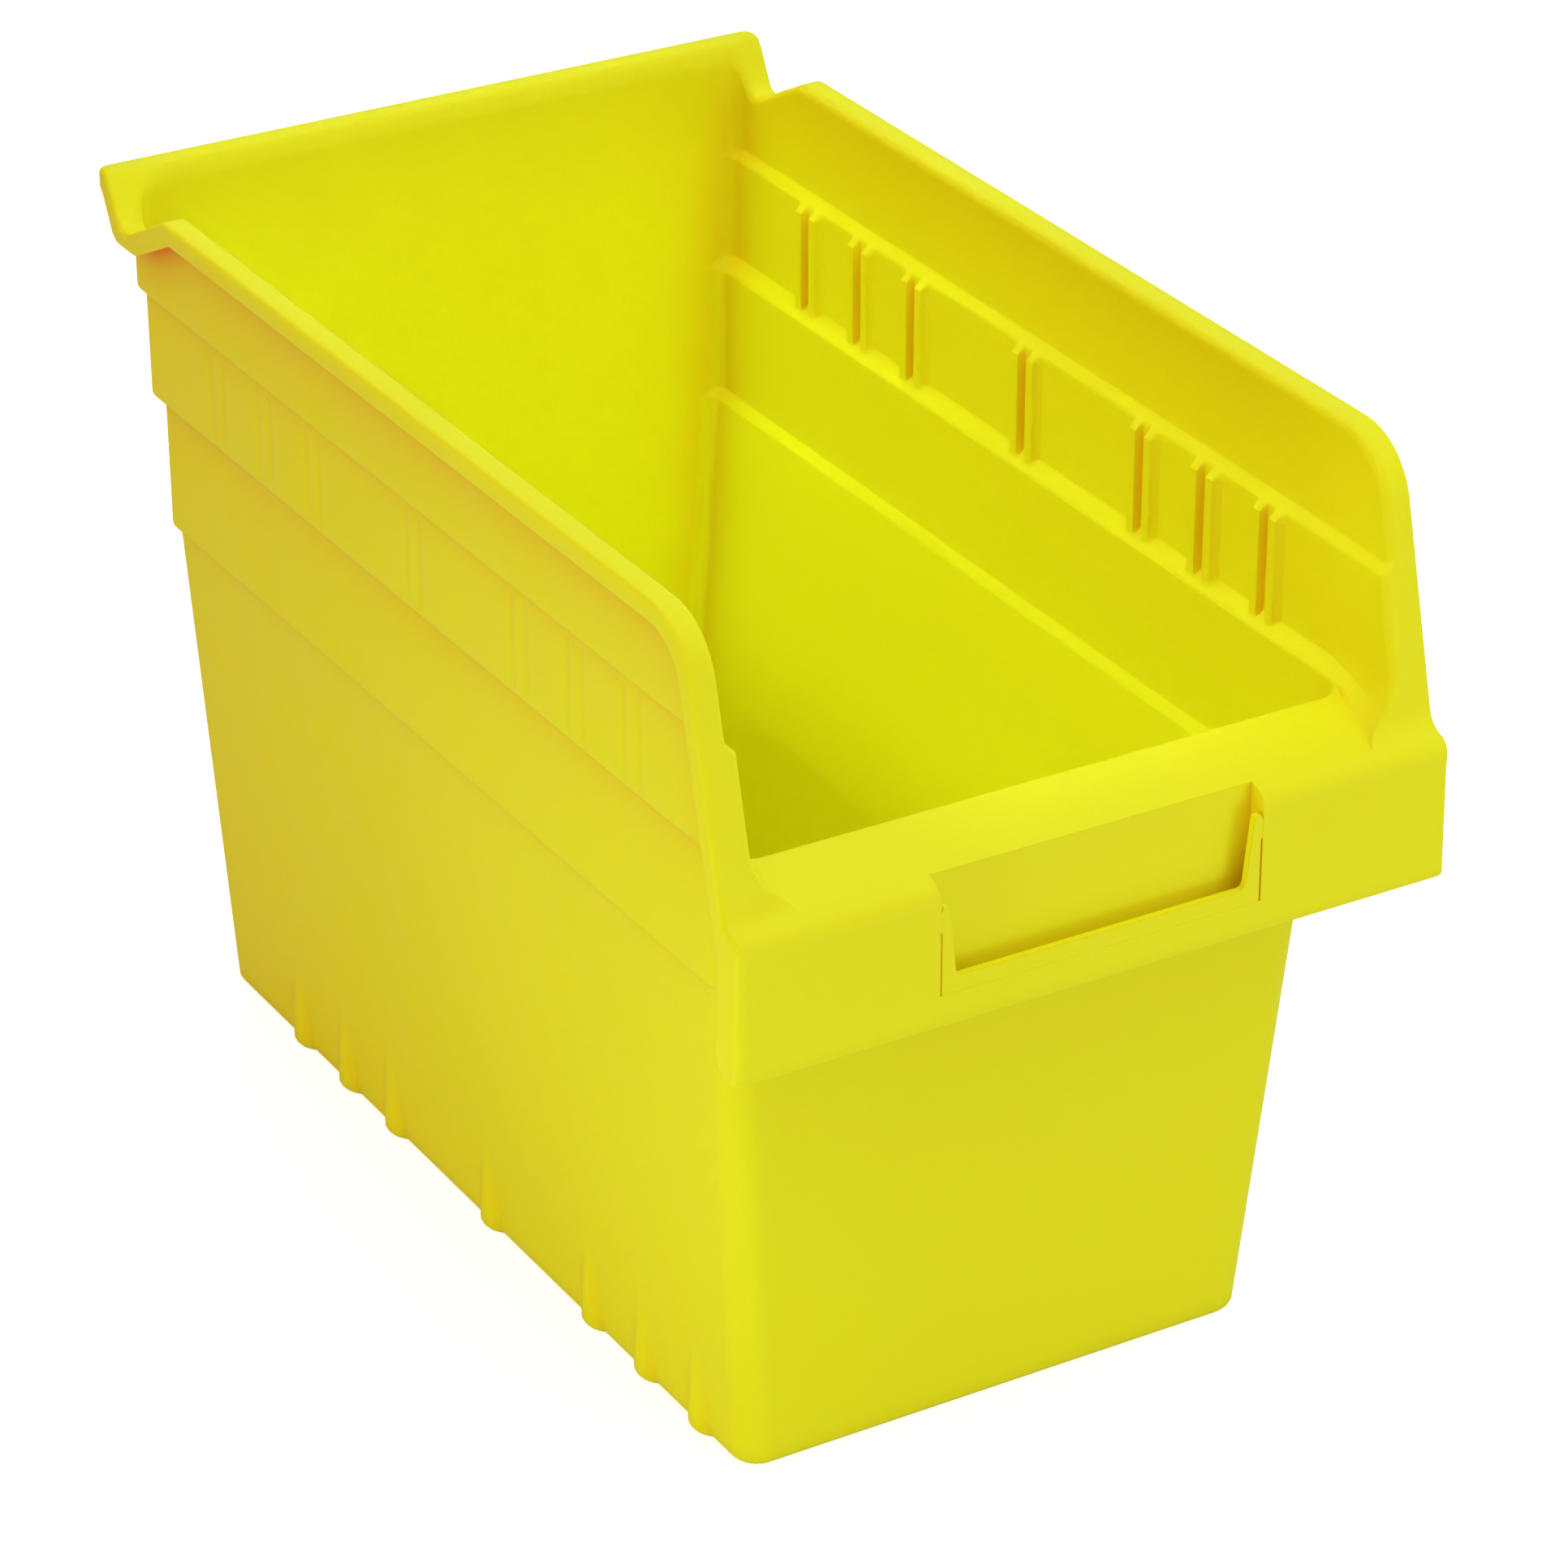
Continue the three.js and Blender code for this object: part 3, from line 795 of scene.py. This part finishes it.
def outer_corner(share, from_y, to_x):
    """A point and outward direction on the rim's outer edge round the rail's end, seen from above."""
    straight_side = BACK - RAIL_CORNER - from_y
    turn = RAIL_CORNER * math.pi / 2
    straight_back = RIM_HALF - RAIL_CORNER - to_x
    travel = share * (straight_side + turn + straight_back)
    if travel <= straight_side:
        return np.array([RIM_HALF, from_y + travel]), np.array([1.0, 0.0])
    if travel >= straight_side + turn:
        past = travel - straight_side - turn
        return np.array([RIM_HALF - RAIL_CORNER - past, BACK]), np.array([0.0, 1.0])
    angle = (travel - straight_side) / RAIL_CORNER
    outward = np.array([math.cos(angle), math.sin(angle)])
    return np.array([RIM_HALF - RAIL_CORNER, BACK - RAIL_CORNER]) + outward * RAIL_CORNER, outward


def top_frames(upper):
    """Section frames along the top of the side, round the rail's end and along the rail."""
    frames = []
    arc_start = len(BACK_FRACTIONS)
    side_start = arc_start + ARC_STEPS
    corner_y = upper[0][-1, side_start, 1]
    corner_x = upper[0][-1, arc_start, 0]
    for i in range(FRONT_ARC_COLUMN, -1, -1):
        start, end = upper[0][-1, i], upper[1][-1, i]
        inner_way = outward = np.array([1.0, 0.0])
        outer = np.array([RIM_HALF, start[1]])
        if arc_start <= i < side_start:
            angle = math.radians(90 * (1 - (i - arc_start) / ARC_STEPS))
            inner_way = np.array([math.cos(angle), math.sin(angle)])
            outer, outward = outer_corner(1 - (i - arc_start) / ARC_STEPS, corner_y, corner_x)
        elif i < arc_start:
            inner_way = outward = np.array([0.0, 1.0])
            outer = np.array([start[0], BACK])
        frames.append({
            "start": start,
            "end": end,
            "outer": np.array([outer[0], outer[1], rim_z(outer[1])]),
            "edge": np.array([outer[0], outer[1], skirt_z(outer[1])]),
            "inner_way": np.append(inner_way, 0.0),
            "outer_way": np.append(outward, 0.0),
            "hold": EDGE_ROUND,
            "round": OUTER_EDGE_ROUND,
            "level": True,
        })
    return frames


def section(place):
    """The closed outline of the rim at one place: over the flange, down the skirt, back underneath.

    A level place follows the rim's height, and any other has a direction of its own.
    """
    level = place.get("level", False)
    inner_way = place.get("inner_way", SIDEWAYS)
    outer_way = place.get("outer_way", SIDEWAYS)
    down = np.array([0.0, 0.0, -1.0]) if level else place["down"]
    reach, blunt = place["hold"], place["round"]

    def top(point, depth):
        """The point put a depth under the top surface."""
        if level:
            return np.array([point[0], point[1], rim_z(point[1]) - depth])
        return point + down * depth

    def under(point, depth):
        """The point put a depth under the underside."""
        if level:
            return np.array([point[0], point[1], under_z(point[1]) - depth])
        return point + down * (WALL + depth)

    base = place["start"] - down * reach
    if level:
        base = top(base, 0.0)
    points = [place["start"]]
    for a in BEND_ANGLES[1:]:
        points.append(top(base + inner_way * reach * (1 - math.cos(a)), reach * (1 - math.sin(a))))
    first = base + inner_way * reach
    last = place["outer"] - outer_way * blunt
    points += [top(first + (last - first) * t, 0.0) for t in (0.17, 0.33, 0.5, 0.67, 0.83)]
    for a in BEND_ANGLES:
        across = outer_way * blunt * (1 - math.sin(a))
        points.append(top(place["outer"] - across, blunt * (1 - math.cos(a))))
    edge = place["edge"]
    up = unit(points[-1] - edge)
    tip = edge + up * TIP_RISE
    rise, inset = TIP_CHAMFER
    points += [points[-1] + (tip - points[-1]) * t for t in (0.25, 0.5, 0.75, 1.0)]
    points.append(edge + up * rise - outer_way * inset)
    points.append(edge - outer_way * TIP_FLAT)
    points.append(edge - outer_way * (SKIRT_WALL - TIP_FLAT))
    points.append(edge + up * rise - outer_way * (SKIRT_WALL - inset))
    inside = max(blunt - SKIRT_WALL, UNDER_BEND)
    back = edge + up * TIP_RISE - outer_way * SKIRT_WALL
    side = under(place["outer"] - outer_way * SKIRT_WALL, inside)
    points += [back + (side - back) * t for t in (0.0, 0.33, 0.67, 1.0)]
    for a in BEND_ANGLES[1:-1:2]:
        lateral = SKIRT_WALL + inside * (1 - math.cos(a))
        points.append(under(place["outer"] - outer_way * lateral, inside * (1 - math.sin(a))))
    corner = under(place["outer"] - outer_way * (SKIRT_WALL + inside), 0.0)
    join = place["end"]
    bend = UNDER_BEND * min(1.0, reach / EDGE_ROUND)
    near = join + inner_way * bend
    near = under(near, 0.0) if level else near - down * bend
    points += [corner + (near - corner) * t for t in (0.0, 0.25, 0.5, 0.75, 1.0)]
    points.append(join)
    return np.array(points)


def rim(upper, hop):
    """All sections of the rim, from the skirt's lower front edge round to the rail's centre."""
    frames = front_sections(upper, hop) + corner_frames(upper) + top_frames(upper)
    return np.array([section(f) for f in frames])


# ---- Mesh building ----

class Builder:
    """Collects patches of one half of the moulding and makes the mirrored, welded mesh."""

    def __init__(self):
        self.points = []
        self.faces = []

    def add_points(self, points):
        """Adds points and returns the first one's number."""
        start = len(self.points)
        self.points += [tuple(p) for p in points]
        return start

    def face(self, points):
        """Adds one face with its own points."""
        start = self.add_points(points)
        self.faces.append(tuple(range(start, start + len(points))))

    def grid(self, rows, skip=None):
        """Adds a grid of four-sided faces, without the cells that skip names."""
        count, width = rows.shape[:2]
        start = self.add_points(rows.reshape(-1, 3))
        for r in range(count - 1):
            for c in range(width - 1):
                if skip and skip(r, c):
                    continue
                a = start + r * width + c
                self.faces.append((a, a + 1, a + width + 1, a + width))

    def mesh(self, name):
        """The mesh of both halves, welded at the middle plane and between patches."""
        mirrored = [(-x, y, z) for x, y, z in self.points]
        shift = len(self.points)
        faces = self.faces + [tuple(i + shift for i in f[::-1]) for f in self.faces]
        mesh = bpy.data.meshes.new(name)
        mesh.from_pydata((np.array(self.points + mirrored) / TO_MM).tolist(), [], faces)
        work = bmesh.new()
        work.from_mesh(mesh)
        bmesh.ops.remove_doubles(work, verts=work.verts, dist=WELD)
        bmesh.ops.dissolve_degenerate(work, dist=1e-6, edges=work.edges)
        bmesh.ops.recalc_face_normals(work, faces=work.faces)
        work.to_mesh(mesh)
        work.free()
        return mesh


def in_recess(skin):
    """Tells the hopper's grid which cells the label recess takes the place of."""
    def skip(r, c):
        """True for the cells that the recess takes."""
        inside_rows = RECESS_ROW - skin <= r < SHELF_ROW + skin
        return inside_rows and c >= RECESS_COLUMN - skin

    return skip


def add_recess(builder, rows, skin):
    """The recess's side, floor and shelf, on either skin. The outer skin's is one cell larger."""
    first, last, column = RECESS_ROW - skin, SHELF_ROW + skin, RECESS_COLUMN - skin
    floor_y = rows[first, -1, 1]
    side = rows[first: last + 1, column]
    deep = side.copy()
    deep[:, 1] = floor_y
    deep[0] = side[0]
    builder.grid(np.array([side, deep]))
    shelf = rows[last, column:]
    back = shelf.copy()
    back[:, 1] = floor_y
    builder.grid(np.array([shelf, back]))
    builder.face(list(rows[first, column:]) + list(back[::-1]) + list(deep[-2:0:-1]))


def moulding_mesh():
    """The whole moulding: both skins of the walls, the hopper and recess, and the rim round them."""
    tubes = [tube(0), tube(1)]
    upper = [upper_wall(s, tubes[s][-1]) for s in (0, 1)]
    hop = [hopper(s, tubes[s][-1]) for s in (0, 1)]
    ring_sections = rim(upper, hop)
    builder = Builder()
    for skin in (0, 1):
        builder.grid(tubes[skin])
        builder.face(list(tubes[skin][0]))
        builder.grid(upper[skin])
        builder.grid(hop[skin], in_recess(skin))
        add_recess(builder, hop[skin], skin)
    builder.grid(ring_sections)
    builder.grid(np.array([hop[0][-1], hop[1][-1]]))
    builder.face(list(ring_sections[0]))
    return builder.mesh("bin_moulding")


def label_frame_outline(side):
    """The right half of the frame's outline as (x, z), from its foot round to the inner corner.

    The given side is the half width below the ears.
    """
    outer = LABEL_HALF + FRAME_LAP
    groove = LABEL_HALF - GROOVE_SIDE
    bottom, top = LABEL_BOTTOM - FRAME_LAP, card_high[2]
    inner_low, inner_high = card_high[0] - FRAME_BAR, card_high[0] - FRAME_BAR / 2
    return [
        (0.0, bottom),
        (side, bottom),
        (side, top - EAR_HEIGHT - EAR_STEP),
        (outer, top - EAR_HEIGHT),
        (outer, top - EAR_CORNER[1]),
        (groove - EAR_CORNER[0], top),
        (inner_high + EAR_TOP_INSET, top),
        (inner_high, top - EAR_TOP_CHAMFER),
        (inner_low + INNER_LEAN, LABEL_BOTTOM + FRAME_BAR + INNER_CORNER[1]),
        (inner_low + INNER_LEAN - INNER_CORNER[0], LABEL_BOTTOM + FRAME_BAR),
    ]


def label_frame_mesh():
    """The U-shaped frame that holds a card, with a groove round its front and rounded edges."""
    narrow = label_frame_outline(LABEL_HALF - GROOVE_SIDE)
    wide = label_frame_outline(LABEL_HALF + FRAME_LAP)
    front = FRONT + FRAME_SET_BACK
    step, back = front + GROOVE, front + FRAME_DEEP
    layers = [(front, narrow), (step, narrow), (step, wide), (back, wide)]
    points = []
    for y, right in layers:
        points += [(x, y, z) for x, z in right + [(-x, z) for x, z in right[:0:-1]]]
    count = 2 * len(narrow) - 1
    last = count * (len(layers) - 1)
    faces = [tuple(range(count)), tuple(range(last + count - 1, last - 1, -1))]
    for base in range(0, last, count):
        for i in range(count):
            j = (i + 1) % count
            faces.append((base + j, base + i, base + count + i, base + count + j))
    mesh = bpy.data.meshes.new("label_frame_mesh")
    mesh.from_pydata((np.array(points) / TO_MM).tolist(), [], faces)
    work = bmesh.new()
    work.from_mesh(mesh)
    bmesh.ops.recalc_face_normals(work, faces=work.faces)
    bmesh.ops.remove_doubles(work, verts=work.verts, dist=1e-6)
    long_edges = [e for e in work.edges if e.calc_length() > BEVEL_FROM / TO_MM]
    bevel = FRAME_BEVEL / TO_MM
    bmesh.ops.bevel(work, geom=long_edges, offset=bevel, segments=2, affect="EDGES", clamp_overlap=True)
    work.to_mesh(mesh)
    work.free()
    return mesh


def add_object(name, mesh):
    """Puts a mesh in the scene as an object."""
    thing = bpy.data.objects.new(name, mesh)
    bpy.context.scene.collection.objects.link(thing)
    return thing


bin_moulding = add_object("bin_moulding", moulding_mesh())
holder = add_object("card_holder", label_frame_mesh())


# ---- Material ----

SHELL_LIGHT = (0.96, 0.935, 0.012, 1.0)
SHELL_DEEP = (0.945, 0.915, 0.010, 1.0)

# Painted shade: a warmer, darker colour painted where occlusion finds hollows, slots and the wall under
# the rim. How far occlusion is felt, in metres, and the range it works over, inside and outside.
SHELL_PAINTED_SHADE = (1.0, 0.30, 0.005, 1.0)
PAINTED_SHADE_REACH = 0.022
INSIDE_SHADE = (0.15, 0.8)
OUTSIDE_SHADE = (0.52, 1.0)
INSIDE_LEAST = 0.35
OUTSIDE_FACING = (0.01, 0.03)

# Noise textures: scale, detail and roughness.
COLOUR_NOISE = (14.0, 3.0, 0.5)
GLOSS_NOISE = (60.0, 4.0, 0.5)
GRAIN_NOISE = (2600.0, 2.0, 0.6)
FLOW_NOISE = (22.0, 2.0, 0.5)
NOISE_RANGE = (0.3, 0.7)
ROUGHNESS = (0.40, 0.52)


def moulded_plastic(name):
    """Semi-matt yellow plastic with fine grain, faint flow marks and painted shade: a warmer, darker
    colour painted in hollows and under the rim.
    """
    material = bpy.data.materials.new(name)
    material.use_nodes = True
    nodes, links = material.node_tree.nodes, material.node_tree.links
    shader = nodes["Principled BSDF"]
    where = nodes.new("ShaderNodeTexCoord")

    def noise(scale, detail, roughness):
        """A noise texture's value."""
        texture = nodes.new("ShaderNodeTexNoise")
        texture.inputs["Scale"].default_value = scale
        texture.inputs["Detail"].default_value = detail
        texture.inputs["Roughness"].default_value = roughness
        links.new(where.outputs["Object"], texture.inputs["Vector"])
        return texture.outputs["Fac"]

    def remap(value, start, end, low=0.0, high=1.0):
        """The value moved from the range start to end into the range low to high."""
        node = nodes.new("ShaderNodeMapRange")
        node.inputs["From Min"].default_value = start
        node.inputs["From Max"].default_value = end
        node.inputs["To Min"].default_value = low
        node.inputs["To Max"].default_value = high
        links.new(value, node.inputs["Value"])
        return node.outputs["Result"]

    def vector_math(operation, first):
        """A vector node with its first input linked."""
        node = nodes.new("ShaderNodeVectorMath")
        node.operation = operation
        links.new(first, node.inputs[0])
        return node

    def bump(strength, distance, height):
        """A bump node over the given height."""
        node = nodes.new("ShaderNodeBump")
        node.inputs["Strength"].default_value = strength
        node.inputs["Distance"].default_value = distance
        links.new(height, node.inputs["Height"])
        return node

    colour = nodes.new("ShaderNodeMix")
    colour.data_type = "RGBA"
    colour.inputs["A"].default_value = SHELL_DEEP
    colour.inputs["B"].default_value = SHELL_LIGHT
    links.new(remap(noise(*COLOUR_NOISE), *NOISE_RANGE), colour.inputs["Factor"])

    # Painted shade: occlusion turns the colour darker and more orange in hollows, slots and under the
    # rim, more strongly on faces turned outward.
    hollow = nodes.new("ShaderNodeAmbientOcclusion")
    hollow.samples = 8
    hollow.only_local = True
    hollow.inputs["Distance"].default_value = PAINTED_SHADE_REACH
    sideways = vector_math("MULTIPLY", where.outputs["Object"])
    sideways.inputs[1].default_value = (1.0, 0.0, 0.0)
    facing = vector_math("DOT_PRODUCT", sideways.outputs["Vector"])
    links.new(where.outputs["Normal"], facing.inputs[1])
    openness = nodes.new("ShaderNodeMix")
    links.new(remap(facing.outputs["Value"], *OUTSIDE_FACING), openness.inputs["Factor"])
    links.new(remap(hollow.outputs["AO"], *INSIDE_SHADE, INSIDE_LEAST), openness.inputs["A"])
    links.new(remap(hollow.outputs["AO"], *OUTSIDE_SHADE), openness.inputs["B"])
    painted_shade = nodes.new("ShaderNodeMix")
    painted_shade.data_type = "RGBA"
    painted_shade.inputs["A"].default_value = SHELL_PAINTED_SHADE
    links.new(colour.outputs["Result"], painted_shade.inputs["B"])
    links.new(openness.outputs["Result"], painted_shade.inputs["Factor"])
    links.new(painted_shade.outputs["Result"], shader.inputs["Base Color"])

    links.new(remap(noise(*GLOSS_NOISE), *NOISE_RANGE, *ROUGHNESS), shader.inputs["Roughness"])
    shader.inputs["IOR"].default_value = 1.49
    shader.inputs["Specular IOR Level"].default_value = 0.14
    grain = bump(0.12, 0.0002, noise(*GRAIN_NOISE))
    flow = bump(0.03, 0.002, noise(*FLOW_NOISE))
    links.new(grain.outputs["Normal"], flow.inputs["Normal"])
    links.new(flow.outputs["Normal"], shader.inputs["Normal"])
    return material


plastic = moulded_plastic("yellow_polypropylene")
for piece in (bin_moulding, holder):
    piece.data.materials.append(plastic)
    for polygon in piece.data.polygons:
        polygon.use_smooth = True
    piece.data.set_sharp_from_angle(angle=SHARP_ANGLE)
    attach(piece, "root")

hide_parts("label_frame")
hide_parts(*[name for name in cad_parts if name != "label_frame"])


# ---- Floor, light and camera ----

low, high = CAD_BOX
centre = Vector([(a + b) / 2 for a, b in zip(low, high)])
size = max(b - a for a, b in zip(low, high))

FLOOR_WIDTH = 60
FLOOR_COLOUR = (0.70, 0.65, 0.64, 1.0)
FLOOR_ROUGHNESS = (0.6, 0.7)
FLOOR_GLOW = 0.75
WHITE = (1.0, 1.0, 1.0, 1.0)

SKY_LEFT = (0.56, 0.12, 0.02, 1.0)
SKY_RIGHT = (0.50, 0.52, 0.50, 1.0)
SKY_TOP = (0.98, 1.12, 1.10, 1.0)
SIDE_BLEND = (-0.8, 0.3)
TOP_BLEND = (0.35, 1.0)

# Softboxes: name, direction from the centre, distance, width, power and colour. Here and below,
# distances and widths are shares of the bin's size.
COOL = (0.92, 1.0, 1.0)
SOFTBOXES = (
    ("key", (0.25, -0.45, 1.0), 9.0, 3.0, 4.0, COOL),
    ("front_right", (0.7, -1.0, 0.2), 9.0, 3.0, 3.0, COOL),
    ("low_front", (0.35, -1.0, -0.15), 1.8, 0.4, 0.17, (0.7, 1.0, 0.8)),
    ("low_left", (-1.0, -0.55, -0.2), 1.5, 0.4, 0.42, (0.6, 1.0, 0.6)),
)

# Beams into the bin: name, direction, shift in x and y, width, height and power.
BEAMS = (
    ("beam_right", (-0.9, 0.0, 1.0), (0.0, 0.0), 0.9, 0.39, 0.022),
    ("beam_back", (0.0, -0.6, 1.0), (0.0, 0.25), 0.5, 0.36, 0.016),
)
BEAM_DISTANCE = 4.0
BEAM_COLOUR = (0.75, 1.0, 0.8)
BEAM_SPREAD = math.radians(2)

# The camera's place from the centre, in metres, its angles in degrees and its lens.
CAMERA_OFFSET = (-0.5583, -0.9608, 0.5830)
CAMERA_YAW = 30.59
CAMERA_PITCH = -28.0
CAMERA_LENS = 136.7


def pale_floor():
    """A plain pale floor. It glows for the camera only, so that it looks white."""
    bpy.ops.mesh.primitive_plane_add(size=size * FLOOR_WIDTH, location=(0, 0, low[2]))
    plane = bpy.context.object
    plane.name = "studio_floor"
    material = bpy.data.materials.new("studio_white")
    material.use_nodes = True
    nodes, links = material.node_tree.nodes, material.node_tree.links
    shader = nodes["Principled BSDF"]
    texture = nodes.new("ShaderNodeTexNoise")
    texture.inputs["Scale"].default_value = 3.0
    ramp = nodes.new("ShaderNodeMapRange")
    ramp.inputs["To Min"].default_value = FLOOR_ROUGHNESS[0]
    ramp.inputs["To Max"].default_value = FLOOR_ROUGHNESS[1]
    links.new(texture.outputs["Fac"], ramp.inputs["Value"])
    links.new(ramp.outputs["Result"], shader.inputs["Roughness"])
    shader.inputs["Base Color"].default_value = FLOOR_COLOUR
    shader.inputs["Emission Color"].default_value = WHITE
    glow = nodes.new("ShaderNodeMath")
    glow.operation = "MULTIPLY"
    glow.inputs[1].default_value = FLOOR_GLOW
    links.new(nodes.new("ShaderNodeLightPath").outputs["Is Camera Ray"], glow.inputs[0])
    links.new(glow.outputs["Value"], shader.inputs["Emission Strength"])
    plane.data.materials.append(material)


def softbox(name, direction, distance, width, power, colour):
    """An area light at a direction from the object's centre, aimed at it."""
    light = bpy.data.lights.new(name, "AREA")
    light.size = width * size
    light.energy = power
    light.color = colour
    lamp = bpy.data.objects.new(name, light)
    bpy.context.scene.collection.objects.link(lamp)
    way = Vector(direction).normalized()
    lamp.location = centre + way * distance * size
    lamp.rotation_euler = way.to_track_quat("Z", "Y").to_euler()
    lamp.visible_camera = False
    return lamp


def inside_beam(name, direction, shift, width, height, power):
    """A narrow beam that only lights an inside wall. It is aimed at the level of the rim."""
    lamp = softbox(name, direction, BEAM_DISTANCE, width, power, BEAM_COLOUR)
    lamp.location += Vector((shift[0] * size, shift[1] * size, high[2] / 2))
    lamp.data.shape = "RECTANGLE"
    lamp.data.size_y = height * size
    lamp.data.spread = BEAM_SPREAD


def sky():
    """Soft studio surroundings: bright overhead, dimmer at the sides, warm on the left.

    The camera sees plain white instead.
    """
    world = bpy.data.worlds.new("studio")
    bpy.context.scene.world = world
    world.use_nodes = True
    nodes, links = world.node_tree.nodes, world.node_tree.links
    way = nodes.new("ShaderNodeSeparateXYZ")
    links.new(nodes.new("ShaderNodeTexCoord").outputs["Generated"], way.inputs["Vector"])

    def blend(value, start, end, first, second):
        """A smooth change from the first colour to the second, by the value."""
        share = nodes.new("ShaderNodeMapRange")
        share.interpolation_type = "SMOOTHSTEP"
        share.inputs["From Min"].default_value = start
        share.inputs["From Max"].default_value = end
        links.new(value, share.inputs["Value"])
        mix = nodes.new("ShaderNodeMix")
        mix.data_type = "RGBA"
        links.new(share.outputs["Result"], mix.inputs["Factor"])
        for socket, colour in (("A", first), ("B", second)):
            if isinstance(colour, tuple):
                mix.inputs[socket].default_value = colour
            else:
                links.new(colour, mix.inputs[socket])
        return mix.outputs["Result"]

    sides = blend(way.outputs["X"], *SIDE_BLEND, SKY_LEFT, SKY_RIGHT)
    dome = blend(way.outputs["Z"], *TOP_BLEND, sides, SKY_TOP)
    backdrop = nodes.new("ShaderNodeMix")
    backdrop.data_type = "RGBA"
    backdrop.inputs["B"].default_value = WHITE
    links.new(dome, backdrop.inputs["A"])
    links.new(nodes.new("ShaderNodeLightPath").outputs["Is Camera Ray"], backdrop.inputs["Factor"])
    links.new(backdrop.outputs["Result"], nodes["Background"].inputs["Color"])


def photo_camera():
    """The camera at the photograph's viewing angle."""
    data = bpy.data.cameras.new("photo_camera")
    data.sensor_width = 36.0
    data.lens = CAMERA_LENS
    data.clip_end = 100.0
    camera = bpy.data.objects.new("photo_camera", data)
    bpy.context.scene.collection.objects.link(camera)
    camera.location = centre + Vector(CAMERA_OFFSET)
    tilt, turn = math.radians(90 + CAMERA_PITCH), math.radians(-CAMERA_YAW)
    camera.rotation_euler = Euler((tilt, 0.0, turn), "XYZ")
    bpy.context.scene.camera = camera


pale_floor()
sky()
for values in SOFTBOXES:
    softbox(*values)
for values in BEAMS:
    inside_beam(*values)
photo_camera()
bpy.context.scene.view_settings.view_transform = "Standard"
